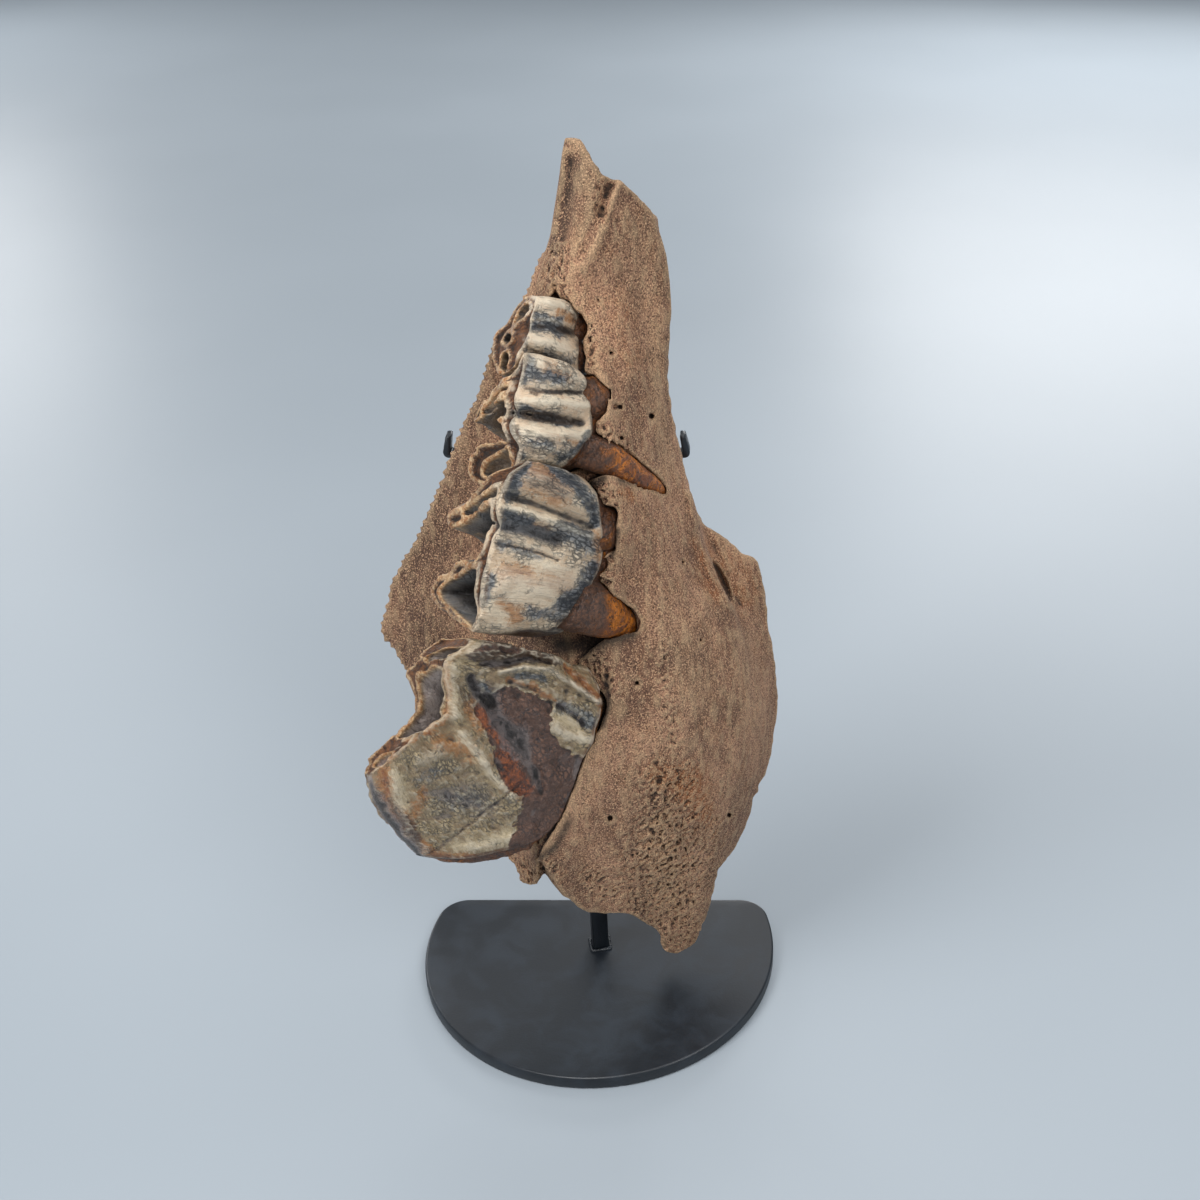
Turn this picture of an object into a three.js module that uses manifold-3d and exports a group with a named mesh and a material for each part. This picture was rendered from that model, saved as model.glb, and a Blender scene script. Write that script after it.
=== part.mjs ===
// Fossil woolly rhinoceros maxilla: the left upper jaw with its four back teeth, on a small steel stand.
// Millimetres, +Z up. The origin is on the underside of the base plate, under the upright rod.
import * as THREE from 'three'
import { mergeVertices } from 'three/addons/utils/BufferGeometryUtils.js'
import Module from 'manifold-3d'

const wasm = await Module()
wasm.setup()

// Driving dimensions of the stand
const PLATE_RADIUS = 65
const PLATE_THICKNESS = 5.3
const PLATE_BACK = 24.7
const PLATE_CORNER = 11.2
const ROD_SIDE = 6
const ROD_TURN = 12
const STRIP_HEIGHT = 207
const STRIP_WIDTH = 8
const STRIP_FRONT = -1
const STRIP_THICKNESS = 1.8
const STRIP_ENDS = { left: [446, 452, 3], right: [687, 455, 3] }
const TAB_HEIGHT = 10
const WELD_OVERLAP = 0.5
const REST_HEIGHT = 128
const REST_REACH = 21
const REST_THICKNESS = 3
const REST_LIP = 9

// Clearance between pieces that touch, and around the roots where the socket walls have broken open
const GAP = 0.35
const SOCKET_GAP = 0.7

// The viewpoint that the outlines were measured from. A point is written as [across, down, depth]: the place in the
// photograph's 1200 by 1200 frame, and the real distance in millimetres behind the rod's axis.
const EYE = new THREE.Vector3(49.1, -443.8, 431.2)
const EYE_TILT = THREE.MathUtils.degToRad(31.69)
const EYE_FOCUS = 1600
const EYE_CENTRE = { across: 730.9, down: 600 }

function seen([across, down, depth]) {
  const right = (across - EYE_CENTRE.across) / EYE_FOCUS
  const rise = (EYE_CENTRE.down - down) / EYE_FOCUS
  const ray = new THREE.Vector3(
    right,
    Math.cos(EYE_TILT) + rise * Math.sin(EYE_TILT),
    rise * Math.cos(EYE_TILT) - Math.sin(EYE_TILT),
  )
  return ray.multiplyScalar((depth - EYE.y) / ray.y).add(EYE)
}

function curveThrough(points) {
  return new THREE.CatmullRomCurve3(points, false, 'centripetal')
}

// A point on a curve, which runs on straight past its ends
function pointOn(curve, share) {
  const kept = THREE.MathUtils.clamp(share, 0, 1)
  return curve.getPoint(kept).addScaledVector(curve.getTangent(kept), (share - kept) * curve.getLength())
}

// Solids from meshes, for joins and cuts
function solidOf(geometry) {
  const bare = new THREE.BufferGeometry()
  bare.setAttribute('position', geometry.getAttribute('position').clone())
  bare.setIndex(geometry.getIndex())
  const merged = mergeVertices(bare, 1e-4)
  const vertProperties = new Float32Array(merged.getAttribute('position').array)
  const triVerts = new Uint32Array(merged.getIndex().array)
  return new wasm.Manifold(new wasm.Mesh({ numProp: 3, vertProperties, triVerts }))
}

function geometryOf(solid) {
  const mesh = solid.getMesh()
  const geometry = new THREE.BufferGeometry()
  geometry.setAttribute('position', new THREE.BufferAttribute(new Float32Array(mesh.vertProperties), 3))
  geometry.setIndex(new THREE.BufferAttribute(new Uint32Array(mesh.triVerts), 1))
  geometry.computeVertexNormals()
  return geometry
}

// The same closed mesh with its surface moved outwards, used to cut room for a neighbour
function grown(geometry, distance) {
  const moved = mergeVertices(geometry.clone(), 1e-4)
  moved.computeVertexNormals()
  const position = moved.getAttribute('position')
  const normal = moved.getAttribute('normal')
  for (let i = 0; i < position.count; i += 1) {
    position.setXYZ(
      i,
      position.getX(i) + normal.getX(i) * distance,
      position.getY(i) + normal.getY(i) * distance,
      position.getZ(i) + normal.getZ(i) * distance,
    )
  }
  return moved
}

// A closed skin over stacked rings of points: sides between the rings, and a flat lid on the first and last ring
function skinOver(rings, lidOutline) {
  const count = rings[0].length
  const index = []
  for (let level = 0; level + 1 < rings.length; level += 1) {
    for (let i = 0; i < count; i += 1) {
      const a = level * count + i
      const b = level * count + ((i + 1) % count)
      index.push(a, b, b + count, a, b + count, a + count)
    }
  }
  const last = (rings.length - 1) * count
  for (const [a, b, c] of THREE.ShapeUtils.triangulateShape(lidOutline, [])) {
    index.push(c, b, a, last + a, last + b, last + c)
  }
  const geometry = new THREE.BufferGeometry().setFromPoints(rings.flat())
  geometry.setIndex(index)
  return facingOut(geometry)
}

// Turns the triangles round where the closed mesh is inside out
function facingOut(geometry) {
  const position = geometry.getAttribute('position')
  const index = geometry.getIndex()
  const corner = [new THREE.Vector3(), new THREE.Vector3(), new THREE.Vector3()]
  let volume = 0
  for (let i = 0; i < index.count; i += 3) {
    corner.forEach((point, k) => point.fromBufferAttribute(position, index.getX(i + k)))
    volume += corner[0].dot(corner[1].clone().cross(corner[2]))
  }
  if (volume < 0) {
    for (let i = 0; i < index.count; i += 3) {
      const kept = index.getX(i + 1)
      index.setX(i + 1, index.getX(i + 2))
      index.setX(i + 2, kept)
    }
  }
  geometry.computeVertexNormals()
  return geometry
}

// The bone is a bent sheet, thick at the tooth row. Each line runs from the broken top edge to the broken bottom edge
// on the outer face: points [across, down, depth], the way inwards from there, and the thickness down the line.
const BONE_LINES = [
  {
    name: 'suture edge of the palate',
    points: [
      [563, 146, -8], [553, 215, -7], [530, 283, -6], [497, 340, -6], [470, 403, -6], [441, 480, -6],
      [411, 548, -6], [391, 585, -5], [382, 626, -5], [409, 682, -9], [455, 780, -22], [510, 860, -32],
    ],
    inwards: [0.5, 0.85, 0],
    thickness: [3, 4, 4],
  },
  {
    name: 'middle of the palate',
    points: [
      [568, 140, -13], [562, 220, -13], [541, 286, -12], [520, 345, -9], [503, 405, -10], [487, 478, -11],
      [468, 546, -12], [460, 585, -13], [453, 630, -14], [468, 692, -18], [495, 780, -28], [520, 882, -36],
    ],
    inwards: [0.45, 0.9, 0],
    thickness: [5, 5, 7],
  },
  {
    name: 'margin on the tongue side of the teeth',
    points: [
      [576, 141, -15], [573, 226, -18], [552, 290, -18], [545, 348, -15], [536, 410, -18], [531, 478, -22],
      [528, 545, -25], [527, 585, -27], [527, 630, -29], [528, 696, -33], [532, 782, -38], [536, 872, -44],
    ],
    inwards: [0.25, 0.97, 0],
    thickness: [7, 11, 13],
  },
  {
    name: 'margin on the cheek side of the teeth',
    points: [
      [590, 160, -17], [588, 228, -20], [570, 290, -22], [586, 345, -26], [602, 400, -36], [606, 470, -42],
      [613, 542, -45], [604, 585, -46], [604, 632, -47], [606, 700, -51], [579, 780, -55], [544, 850, -57],
    ],
    inwards: [-0.3, 0.95, 0.05],
    thickness: [8, 24, 24],
  },
  {
    name: 'cheek face near the teeth',
    points: [
      [612, 180, -15], [612, 232, -18], [603, 290, -19], [612, 345, -23], [624, 400, -29], [630, 468, -34],
      [637, 542, -39], [636, 585, -41], [638, 628, -43], [643, 700, -47], [622, 788, -52], [585, 908, -48],
    ],
    inwards: [-0.7, 0.7, 0.05],
    thickness: [7, 15, 13],
  },
  {
    name: 'cheek face',
    points: [
      [634, 193, -11], [640, 235, -12], [640, 290, -13], [645, 345, -15], [652, 400, -18], [660, 467, -22],
      [668, 542, -29], [677, 583, -33], [688, 625, -36], [695, 700, -41], [672, 800, -45], [632, 916, -38],
    ],
    inwards: [-0.85, 0.5, 0],
    thickness: [6, 8, 9],
  },
  {
    name: 'ridge of the cheek bone',
    points: [
      [655, 215, -7], [668, 262, -6], [671, 315, -6], [669, 352, -6], [672, 402, -6], [683, 465, -8],
      [700, 540, -13], [715, 577, -16], [732, 607, -18], [738, 692, -26], [714, 806, -33], [668, 948, -22],
    ],
    inwards: [-0.85, 0.5, 0],
    thickness: [5, 6, 9],
  },
  {
    name: 'hollow behind the ridge',
    points: [
      [656, 218, -4], [667, 263, -4], [670, 315, -4], [668, 352, -4], [671, 402, -4], [683, 463, -4],
      [701, 537, -4], [720, 572, -6], [737, 606, -9], [757, 692, -14], [741, 800, -20], [692, 942, -17],
    ],
    inwards: [-0.8, 0.6, 0],
    thickness: [4, 5, 9],
  },
  {
    name: 'broken edge of the cheek bone',
    points: [
      [657, 221, -2], [665, 264, -2], [668, 315, -2], [666, 352, -2], [669, 402, -2], [682, 463, -2],
      [706, 527, 1], [750, 563, 4], [768, 604, 4], [776, 692, 2], [759, 790, -4], [710, 898, -9],
    ],
    inwards: [-0.7, 0.7, 0],
    thickness: [3, 4, 7],
  },
]
const BONE_ROWS = 39
const BONE_COLUMNS = 21
const BONE_COLOUR = '#7d6655'

function boneColumns() {
  const outer = []
  const inner = []
  const lines = BONE_LINES.map((line) => ({
    path: curveThrough(line.points.map(seen)),
    depth: new THREE.CatmullRomCurve3(line.thickness.map((t, i) => new THREE.Vector3(i, t, 0))),
    inwards: new THREE.Vector3(...line.inwards).normalize(),
  }))
  for (let row = 0; row <= BONE_ROWS; row += 1) {
    const down = row / BONE_ROWS
    const face = curveThrough(lines.map((line) => line.path.getPoint(down)))
    const under = curveThrough(
      lines.map((line) => line.path.getPoint(down).addScaledVector(line.inwards, line.depth.getPoint(down).y)),
    )
    outer.push(spread(face))
    inner.push(spread(under))
  }
  return { outer, inner }
}

function spread(curve) {
  return Array.from({ length: BONE_COLUMNS + 1 }, (_, i) => curve.getPoint(i / BONE_COLUMNS))
}

function boneGeometry() {
  const { outer, inner } = boneColumns()
  const rings = outer.map((row, i) => [...row, ...inner[i].slice().reverse()])
  const across = BONE_COLUMNS + 1
  const index = []
  const ringSize = 2 * across
  for (let row = 0; row < BONE_ROWS; row += 1) {
    for (let i = 0; i < ringSize; i += 1) {
      const a = row * ringSize + i
      const b = row * ringSize + ((i + 1) % ringSize)
      index.push(a, b, b + ringSize, a, b + ringSize, a + ringSize)
    }
  }
  for (const [row, turn] of [[0, false], [BONE_ROWS, true]]) {
    for (let i = 0; i + 1 < across; i += 1) {
      const a = row * ringSize + i
      const b = a + 1
      const d = row * ringSize + ringSize - 1 - i
      const c = d - 1
      index.push(...(turn ? [a, b, c, a, c, d] : [a, c, b, a, d, c]))
    }
  }
  const geometry = new THREE.BufferGeometry().setFromPoints(rings.flat())
  geometry.setIndex(index)
  return facingOut(geometry)
}

// The teeth. Each crown hangs between its biting edge and its neck, both read from front to back along the cheek
// side, and reaches tongueWidth towards the tongue. Outlines are [share of the length, millimetres to the tongue].
const CROWN_OUTLINE = [
  [0.0, 1.5], [0.06, -0.8], [0.14, 0.6], [0.26, -1.4], [0.4, 0.8], [0.52, 1.6], [0.66, -0.2], [0.8, -0.6],
  [0.92, 0.2], [0.99, 1.6],
]
const TEETH = [
  {
    name: 'premolar_4',
    edge: [[537, 294, -28], [529, 320, -37], [525, 345, -44]],
    neck: [[576, 311, -16], [580, 340, -22], [580, 372, -28]],
    tongue: [-0.53, 0.54, -0.65],
    tongueWidth: [22, 25],
    valley: 0.3,
    buriedRoots: [[0.25, 4, 9, 11], [0.75, 4, 9, 11], [0.5, 17, 8, 9]],
    bareRoots: [],
    colour: '#b3a186',
  },
  {
    name: 'molar_1',
    edge: [[525, 350, -45], [517, 385, -50], [512, 425, -56], [523, 455, -60]],
    neck: [[582, 373, -31], [592, 405, -36], [590, 440, -40], [566, 466, -46]],
    tongue: [-0.6, 0.62, -0.5],
    tongueWidth: [31, 34],
    valley: 0.7,
    buriedRoots: [[0.3, 5, 12, 14], [0.5, 24, 10, 10]],
    bareRoots: [{ points: [[578, 446, -40], [606, 456, -37], [636, 473, -30], [667, 493, -20]], width: 11 }],
    colour: '#c2ab8a',
  },
  {
    name: 'molar_2',
    edge: [[530, 460, -62], [505, 478, -64], [496, 530, -68], [482, 590, -72], [479, 630, -74]],
    neck: [[586, 478, -44], [604, 516, -44], [602, 560, -46], [586, 600, -49], [564, 636, -54]],
    tongue: [-0.64, 0.68, -0.36],
    tongueWidth: [38, 33],
    valley: 0.75,
    buriedRoots: [[0.28, 6, 16, 13], [0.5, 26, 12, 10]],
    bareRoots: [{ points: [[566, 600, -50], [592, 609, -46], [616, 619, -41], [637, 627, -36]], width: 17 }],
    colour: '#c9b398',
  },
  {
    name: 'molar_3',
    edge: [[474, 640, -75], [448, 660, -79], [447, 712, -78], [414, 738, -80], [384, 766, -78]],
    neck: [[590, 668, -50], [606, 712, -51], [580, 782, -55], [530, 846, -58], [452, 860, -62]],
    tongue: [-0.62, 0.615, -0.45],
    tongueWidth: [36, 13],
    valley: 0.7,
    buriedRoots: [[0.3, 8, 20, 12], [0.68, 8, 16, 10], [0.4, 24, 12, 8]],
    bareRoots: [],
    colour: '#a39a80',
  },
]
const CROWN_LEVELS = [0, 0.25, 0.5, 0.75, 1]
const ROOM_LEVELS = [-0.3, ...CROWN_LEVELS, 1.2]
const CROWN_BULGE = 2.2
const ROOT_SIDES = 10
const ROOT_SHAPE = [1, 0.94, 0.78, 0.55, 0.26]
const ROOT_FLATNESS = 0.62
const BARE_ROOT_FLATNESS = 0.8
const ROOT_STATIONS = [-0.25, 0.35, 1]

// Cheek side first, then round the back, the two lophs with the valley between them, and the front
function outlineOf(tooth, level) {
  const [front, back] = tooth.tongueWidth
  const valley = tooth.valley * (1 - level)
  const floor = (width) => width * (0.97 - valley)
  const shoulder = (width) => width * (0.97 - 0.3 * valley)
  const round = 1 - 0.05 * level
  return [
    ...CROWN_OUTLINE,
    [0.99, back * 0.45], [0.94, back * 0.86], [0.86, back * round], [0.76, back * 0.97 * round],
    [0.69, shoulder(back)], [0.64, floor(back)], [0.58, floor((back + front) / 2)], [0.53, floor(front)],
    [0.49, shoulder(front)], [0.43, front * 0.98 * round], [0.3, front * round], [0.14, front * 0.84],
    [0.03, front * 0.5],
  ].map(([along, out]) => new THREE.Vector2(along, out))
}

// A place in a tooth: share of its length from front to back, level from biting edge to neck, millimetres to the tongue
function toothPlace(tooth) {
  const edge = curveThrough(tooth.edge.map(seen))
  const neck = curveThrough(tooth.neck.map(seen))
  const tongue = new THREE.Vector3(...tooth.tongue).normalize()
  return (along, level, out) => {
    const low = pointOn(edge, along)
    const high = pointOn(neck, along)
    const bulge = CROWN_BULGE * Math.sin(Math.PI * THREE.MathUtils.clamp(level, 0, 1))
    const side = THREE.MathUtils.clamp((2 * out) / tooth.tongueWidth[1] - 1, -1, 1)
    return low.lerp(high, level).addScaledVector(tongue, out + bulge * side)
  }
}

function crownGeometry(tooth) {
  const place = toothPlace(tooth)
  const rings = CROWN_LEVELS.map((level) =>
    outlineOf(tooth, level).map((point) => place(point.x, level, point.y)))
  return skinOver(rings, outlineOf(tooth, 0))
}

// An outline moved outwards by some millimetres all round, on a crown of the given length
function widened(outline, length, distance) {
  return outline.map((point, i) => {
    const before = outline.at(i - 1)
    const after = outline[(i + 1) % outline.length]
    const way = new THREE.Vector2(-(after.y - before.y), (after.x - before.x) * length).normalize()
    return new THREE.Vector2(point.x - (way.x * distance) / length, point.y - way.y * distance)
  })
}

// The crown's room in the bone: wider all round, and with no valley
function crownRoom(tooth) {
  const place = toothPlace(tooth)
  const filled = { ...tooth, valley: 0 }
  const length = place(0, 0, 0).distanceTo(place(1, 0, 0))
  const rings = ROOM_LEVELS.map((level) =>
    widened(outlineOf(filled, level), length, SOCKET_GAP).map((point) => place(point.x, level, point.y)))
  return skinOver(rings, outlineOf(filled, 0))
}

// A closed tapering tube with rounded section: points along its middle, half widths there, and how flat it is
function taperedTube(points, halfWidths, flatness, wide, extra) {
  const path = curveThrough(points)
  const ring = Array.from({ length: ROOT_SIDES }, (_, i) => {
    const turn = (i / ROOT_SIDES) * 2 * Math.PI
    return new THREE.Vector2(Math.cos(turn), Math.sin(turn))
  })
  const rings = halfWidths.map((half, i) => {
    const share = i / (halfWidths.length - 1)
    const way = path.getTangent(share)
    const across = new THREE.Vector3().crossVectors(way, wide).normalize()
    const along = new THREE.Vector3().crossVectors(across, way).normalize()
    const centre = path.getPoint(share).addScaledVector(way, extra * (2 * share - 1))
    return ring.map((spot) => centre.clone()
      .addScaledVector(along, spot.x * (half + extra))
      .addScaledVector(across, spot.y * (half * flatness + extra)))
  })
  return skinOver(rings, ring)
}

// A buried root starts inside the crown and tapers: [share of the length, millimetres out, width, length]
function buriedRoot(tooth, [along, out, width, length], extra) {
  const place = toothPlace(tooth)
  const start = place(along, 1, out)
  const way = place(along, 1, out).sub(place(along, 0, out)).normalize()
  const wide = place(along + 0.05, 1, out).sub(place(along - 0.05, 1, out)).normalize()
  const points = ROOT_STATIONS.map((share) => start.clone().addScaledVector(way, share * length))
  const halfWidths = ROOT_SHAPE.map((share) => (share * width) / 2)
  return taperedTube(points, halfWidths, ROOT_FLATNESS, wide, extra)
}

// A root laid bare where the cheek side has broken away: its points as seen, and its width at the crown
function bareRoot(tooth, { points, width }, extra) {
  const wide = new THREE.Vector3(0, 0, 1)
  const halfWidths = ROOT_SHAPE.map((share) => (share * width) / 2)
  return taperedTube(points.map(seen), halfWidths, BARE_ROOT_FLATNESS, wide, extra)
}

function rootsOf(tooth, extra) {
  return [
    ...tooth.buriedRoots.map((root) => buriedRoot(tooth, root, extra)),
    ...tooth.bareRoots.map((root) => bareRoot(tooth, root, extra)),
  ].map(solidOf)
}

function toothSolid(tooth) {
  return rootsOf(tooth, 0).reduce((solid, root) => solid.add(root), solidOf(crownGeometry(tooth)))
}

function socketSolid(tooth) {
  return rootsOf(tooth, SOCKET_GAP).reduce((solid, root) => solid.add(root), solidOf(crownRoom(tooth)))
}

// Closed enamel islands on the worn premolar: [share of the length, millimetres to the tongue, half width]
const PREMOLAR_PITS = [[0.24, 10, 2.6], [0.58, 11, 2.4], [0.8, 12, 2.2]]
const PIT_LEVELS = [-0.1, 0.35]
const PIT_SIDES = 10

function pitGeometry(tooth, [along, out, half]) {
  const place = toothPlace(tooth)
  const reach = half / place(0, 0, out).distanceTo(place(1, 0, out))
  const outline = Array.from({ length: PIT_SIDES }, (_, i) => {
    const turn = (i / PIT_SIDES) * 2 * Math.PI
    return new THREE.Vector2(along + Math.cos(turn) * reach, out + Math.sin(turn) * half)
  })
  const rings = PIT_LEVELS.map((level) => outline.map((point) => place(point.x, level, point.y)))
  return skinOver(rings, outline)
}

// The base plate: a disc cut straight across the back, with rounded corners and a fine bevel
const PLATE_BEVEL = 0.5

function plateGeometry() {
  const shape = new THREE.Shape()
  const inset = PLATE_BACK - PLATE_CORNER
  const reach = Math.sqrt((PLATE_RADIUS - PLATE_CORNER) ** 2 - inset ** 2)
  const lean = Math.atan2(inset, reach)
  shape.absarc(0, 0, PLATE_RADIUS, Math.PI - lean, 2 * Math.PI + lean, false)
  shape.absarc(reach, inset, PLATE_CORNER, lean, Math.PI / 2, false)
  shape.absarc(-reach, inset, PLATE_CORNER, Math.PI / 2, Math.PI - lean, false)
  const geometry = new THREE.ExtrudeGeometry(shape, {
    depth: PLATE_THICKNESS - 2 * PLATE_BEVEL,
    bevelSize: PLATE_BEVEL,
    bevelOffset: -PLATE_BEVEL,
    bevelThickness: PLATE_BEVEL,
    bevelSegments: 1,
    curveSegments: 16,
  })
  return geometry.translate(0, 0, PLATE_BEVEL)
}

// The turned-up end of the strip in section: millimetres outwards from the end, and up from the underside
const TAB_PROFILE = [[0, 0], [1.1, 0.5], [1.4, 2], [-1.1, TAB_HEIGHT], [-2.7, TAB_HEIGHT], [-1, STRIP_THICKNESS]]

function cradleGeometry() {
  const left = seen(STRIP_ENDS.left).x
  const right = seen(STRIP_ENDS.right).x
  const outline = [
    ...TAB_PROFILE.map(([out, up]) => new THREE.Vector2(right + out, STRIP_HEIGHT + up)),
    ...TAB_PROFILE.map(([out, up]) => new THREE.Vector2(left - out, STRIP_HEIGHT + up)).reverse(),
  ]
  return new THREE.ExtrudeGeometry(new THREE.Shape(outline), { depth: STRIP_WIDTH, bevelEnabled: false })
    .rotateX(Math.PI / 2)
    .translate(0, STRIP_FRONT + STRIP_WIDTH, 0)
}

// The short arm lower down, with a lip at its end, that the tooth row rests on
function restGeometry() {
  const outline = [
    [0, 0], [REST_REACH, 0], [REST_REACH, REST_LIP], [REST_REACH - REST_THICKNESS, REST_LIP],
    [REST_REACH - REST_THICKNESS, REST_THICKNESS], [0, REST_THICKNESS],
  ].map(([x, y]) => new THREE.Vector2(x, y))
  return new THREE.ExtrudeGeometry(new THREE.Shape(outline), { depth: ROD_SIDE, bevelEnabled: false })
    .translate(0, 0, -ROD_SIDE / 2)
    .rotateX(Math.PI / 2)
    .rotateZ(-Math.PI / 2)
    .translate(0, 0, REST_HEIGHT)
}

// The upright: a square rod, turned a little, with the cradle strip and the rest welded to it
function uprightGeometry() {
  const foot = PLATE_THICKNESS + GAP
  const rodHeight = STRIP_HEIGHT + WELD_OVERLAP - foot
  const rod = new THREE.BoxGeometry(ROD_SIDE, ROD_SIDE, rodHeight)
    .translate(0, 0, foot + rodHeight / 2)
    .rotateZ(THREE.MathUtils.degToRad(ROD_TURN))
  return geometryOf(solidOf(rod).add(solidOf(cradleGeometry())).add(solidOf(restGeometry())))
}

function piece(name, geometry, colour, roughness, metalness) {
  const material = new THREE.MeshStandardMaterial({ color: colour, roughness, metalness })
  const mesh = new THREE.Mesh(geometry, material)
  mesh.name = name
  return mesh
}

// A cut can leave crumbs: only the main body is kept
function largestOf(solid) {
  return solid.decompose().reduce((best, one) => (one.volume() > best.volume() ? one : best))
}

const upright = uprightGeometry()
const teeth = []
for (const tooth of TEETH) {
  const before = teeth.at(-1)
  const solid = before ? toothSolid(tooth).subtract(solidOf(grown(before, SOCKET_GAP))) : toothSolid(tooth)
  teeth.push(geometryOf(largestOf(solid)))
}
let bone = solidOf(boneGeometry()).subtract(solidOf(grown(upright, GAP)))
TEETH.forEach((tooth) => {
  bone = bone.subtract(socketSolid(tooth))
})

const specimen = new THREE.Group()
specimen.add(piece('base_plate', plateGeometry(), '#2b3036', 0.35, 0.2))
specimen.add(piece('upright', upright, '#15171a', 0.5, 0.2))
specimen.add(piece('maxilla_bone', geometryOf(largestOf(bone)), BONE_COLOUR, 0.85, 0))
TEETH.forEach((tooth, i) => {
  const pits = i === 0 ? PREMOLAR_PITS.map((pit) => solidOf(pitGeometry(tooth, pit))) : []
  const solid = pits.reduce((kept, pit) => kept.subtract(pit), solidOf(teeth[i]))
  specimen.add(piece(tooth.name, geometryOf(largestOf(solid)), tooth.colour, 0.45, 0))
})

export default specimen
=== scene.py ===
"""Fossil woolly rhinoceros maxilla on its steel stand: the fine surface and the finish of every piece."""

import math

import bmesh
import bpy
import numpy as np
import openvdb as vdb
from mathutils import Matrix, Vector


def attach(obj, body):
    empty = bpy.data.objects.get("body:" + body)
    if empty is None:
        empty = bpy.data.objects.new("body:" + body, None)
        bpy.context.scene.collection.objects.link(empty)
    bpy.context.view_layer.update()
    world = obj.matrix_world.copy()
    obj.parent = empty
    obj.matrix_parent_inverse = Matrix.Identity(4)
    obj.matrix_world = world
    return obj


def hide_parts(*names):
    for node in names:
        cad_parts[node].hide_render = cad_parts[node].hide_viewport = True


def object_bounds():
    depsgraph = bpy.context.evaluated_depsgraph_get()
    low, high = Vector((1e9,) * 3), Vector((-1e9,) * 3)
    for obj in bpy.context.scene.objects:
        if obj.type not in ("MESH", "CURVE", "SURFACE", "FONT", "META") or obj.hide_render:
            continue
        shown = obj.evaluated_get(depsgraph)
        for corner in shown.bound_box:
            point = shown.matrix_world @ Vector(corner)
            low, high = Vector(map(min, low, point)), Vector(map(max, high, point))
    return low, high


bl_info = {
    "name": "Fossil Maxilla on a Stand",
    "version": (1, 0, 0),
    "blender": (4, 5, 0),
    "location": "View3D > Sidebar > Maxilla",
    "description": "Builds the bone, the four teeth, the steel stand and a studio around them",
    "category": "Add Mesh",
}

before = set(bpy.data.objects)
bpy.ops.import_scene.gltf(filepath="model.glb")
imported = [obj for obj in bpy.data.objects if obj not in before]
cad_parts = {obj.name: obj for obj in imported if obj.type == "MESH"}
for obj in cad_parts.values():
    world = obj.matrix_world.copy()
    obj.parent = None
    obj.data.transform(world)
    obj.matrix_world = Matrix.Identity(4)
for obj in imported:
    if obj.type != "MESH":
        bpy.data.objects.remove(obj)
CAD_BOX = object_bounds()

# Sizes below are in millimetres, and this turns them into metres
MM = 0.001

# The viewpoint that the outlines were measured from. A point is written as [across, down, depth]: the place in the
# photograph's 1200 by 1200 frame, and the real distance in millimetres behind the rod's axis.
EYE = np.array([49.1, -443.8, 431.2])
EYE_TILT = math.radians(31.69)
EYE_FOCUS = 1600.0
EYE_CENTRE = (730.9, 600.0)
FRAME_SIDE = 1200.0
AHEAD = np.array([0.0, math.cos(EYE_TILT), -math.sin(EYE_TILT)])
ABOVE = np.array([0.0, math.sin(EYE_TILT), math.cos(EYE_TILT)])


def seen(points):
    """Points in millimetres from [across, down, depth]."""
    points = np.asarray(points, float)
    right = (points[..., 0] - EYE_CENTRE[0]) / EYE_FOCUS
    rise = (EYE_CENTRE[1] - points[..., 1]) / EYE_FOCUS
    ray = AHEAD + rise[..., None] * ABOVE + right[..., None] * np.array([1.0, 0.0, 0.0])
    return ray * ((points[..., 2:3] - EYE[1]) / ray[..., 1:2]) + EYE


def photo_place(points):
    """Where points in millimetres lie in the photograph's frame: across, down."""
    away = points - EYE
    far = away @ AHEAD
    return EYE_CENTRE[0] + EYE_FOCUS * away[..., 0] / far, EYE_CENTRE[1] - EYE_FOCUS * (away @ ABOVE) / far


def smooth(low, high, value):
    share = np.clip((value - low) / (high - low), 0, 1)
    return share * share * (3 - 2 * share)


def along_curve(points, shares):
    """Points on a centripetal curve through the given points, at shares of its length from 0 to 1."""
    points = np.asarray(points, float)
    padded = np.vstack([2 * points[0] - points[1], points, 2 * points[-1] - points[-2]])
    at = np.clip(shares, 0, 1) * (len(points) - 1)
    first = np.minimum(at.astype(int), len(points) - 2)
    a, b, c, d = (padded[first + k] for k in range(4))
    gap = [np.sqrt(np.linalg.norm(q - p, axis=-1, keepdims=True)) + 1e-9 for p, q in ((a, b), (b, c), (c, d))]
    leave = ((b - a) / gap[0] - (c - a) / (gap[0] + gap[1]) + (c - b) / gap[1]) * gap[1]
    arrive = ((c - b) / gap[1] - (d - b) / (gap[1] + gap[2]) + (d - c) / gap[2]) * gap[1]
    t = (at - first)[:, None]
    return (
        (2 * t**3 - 3 * t**2 + 1) * b
        + (t**3 - 2 * t**2 + t) * leave
        + (3 * t**2 - 2 * t**3) * c
        + (t**3 - t**2) * arrive
    )


LATTICE = 32


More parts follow.
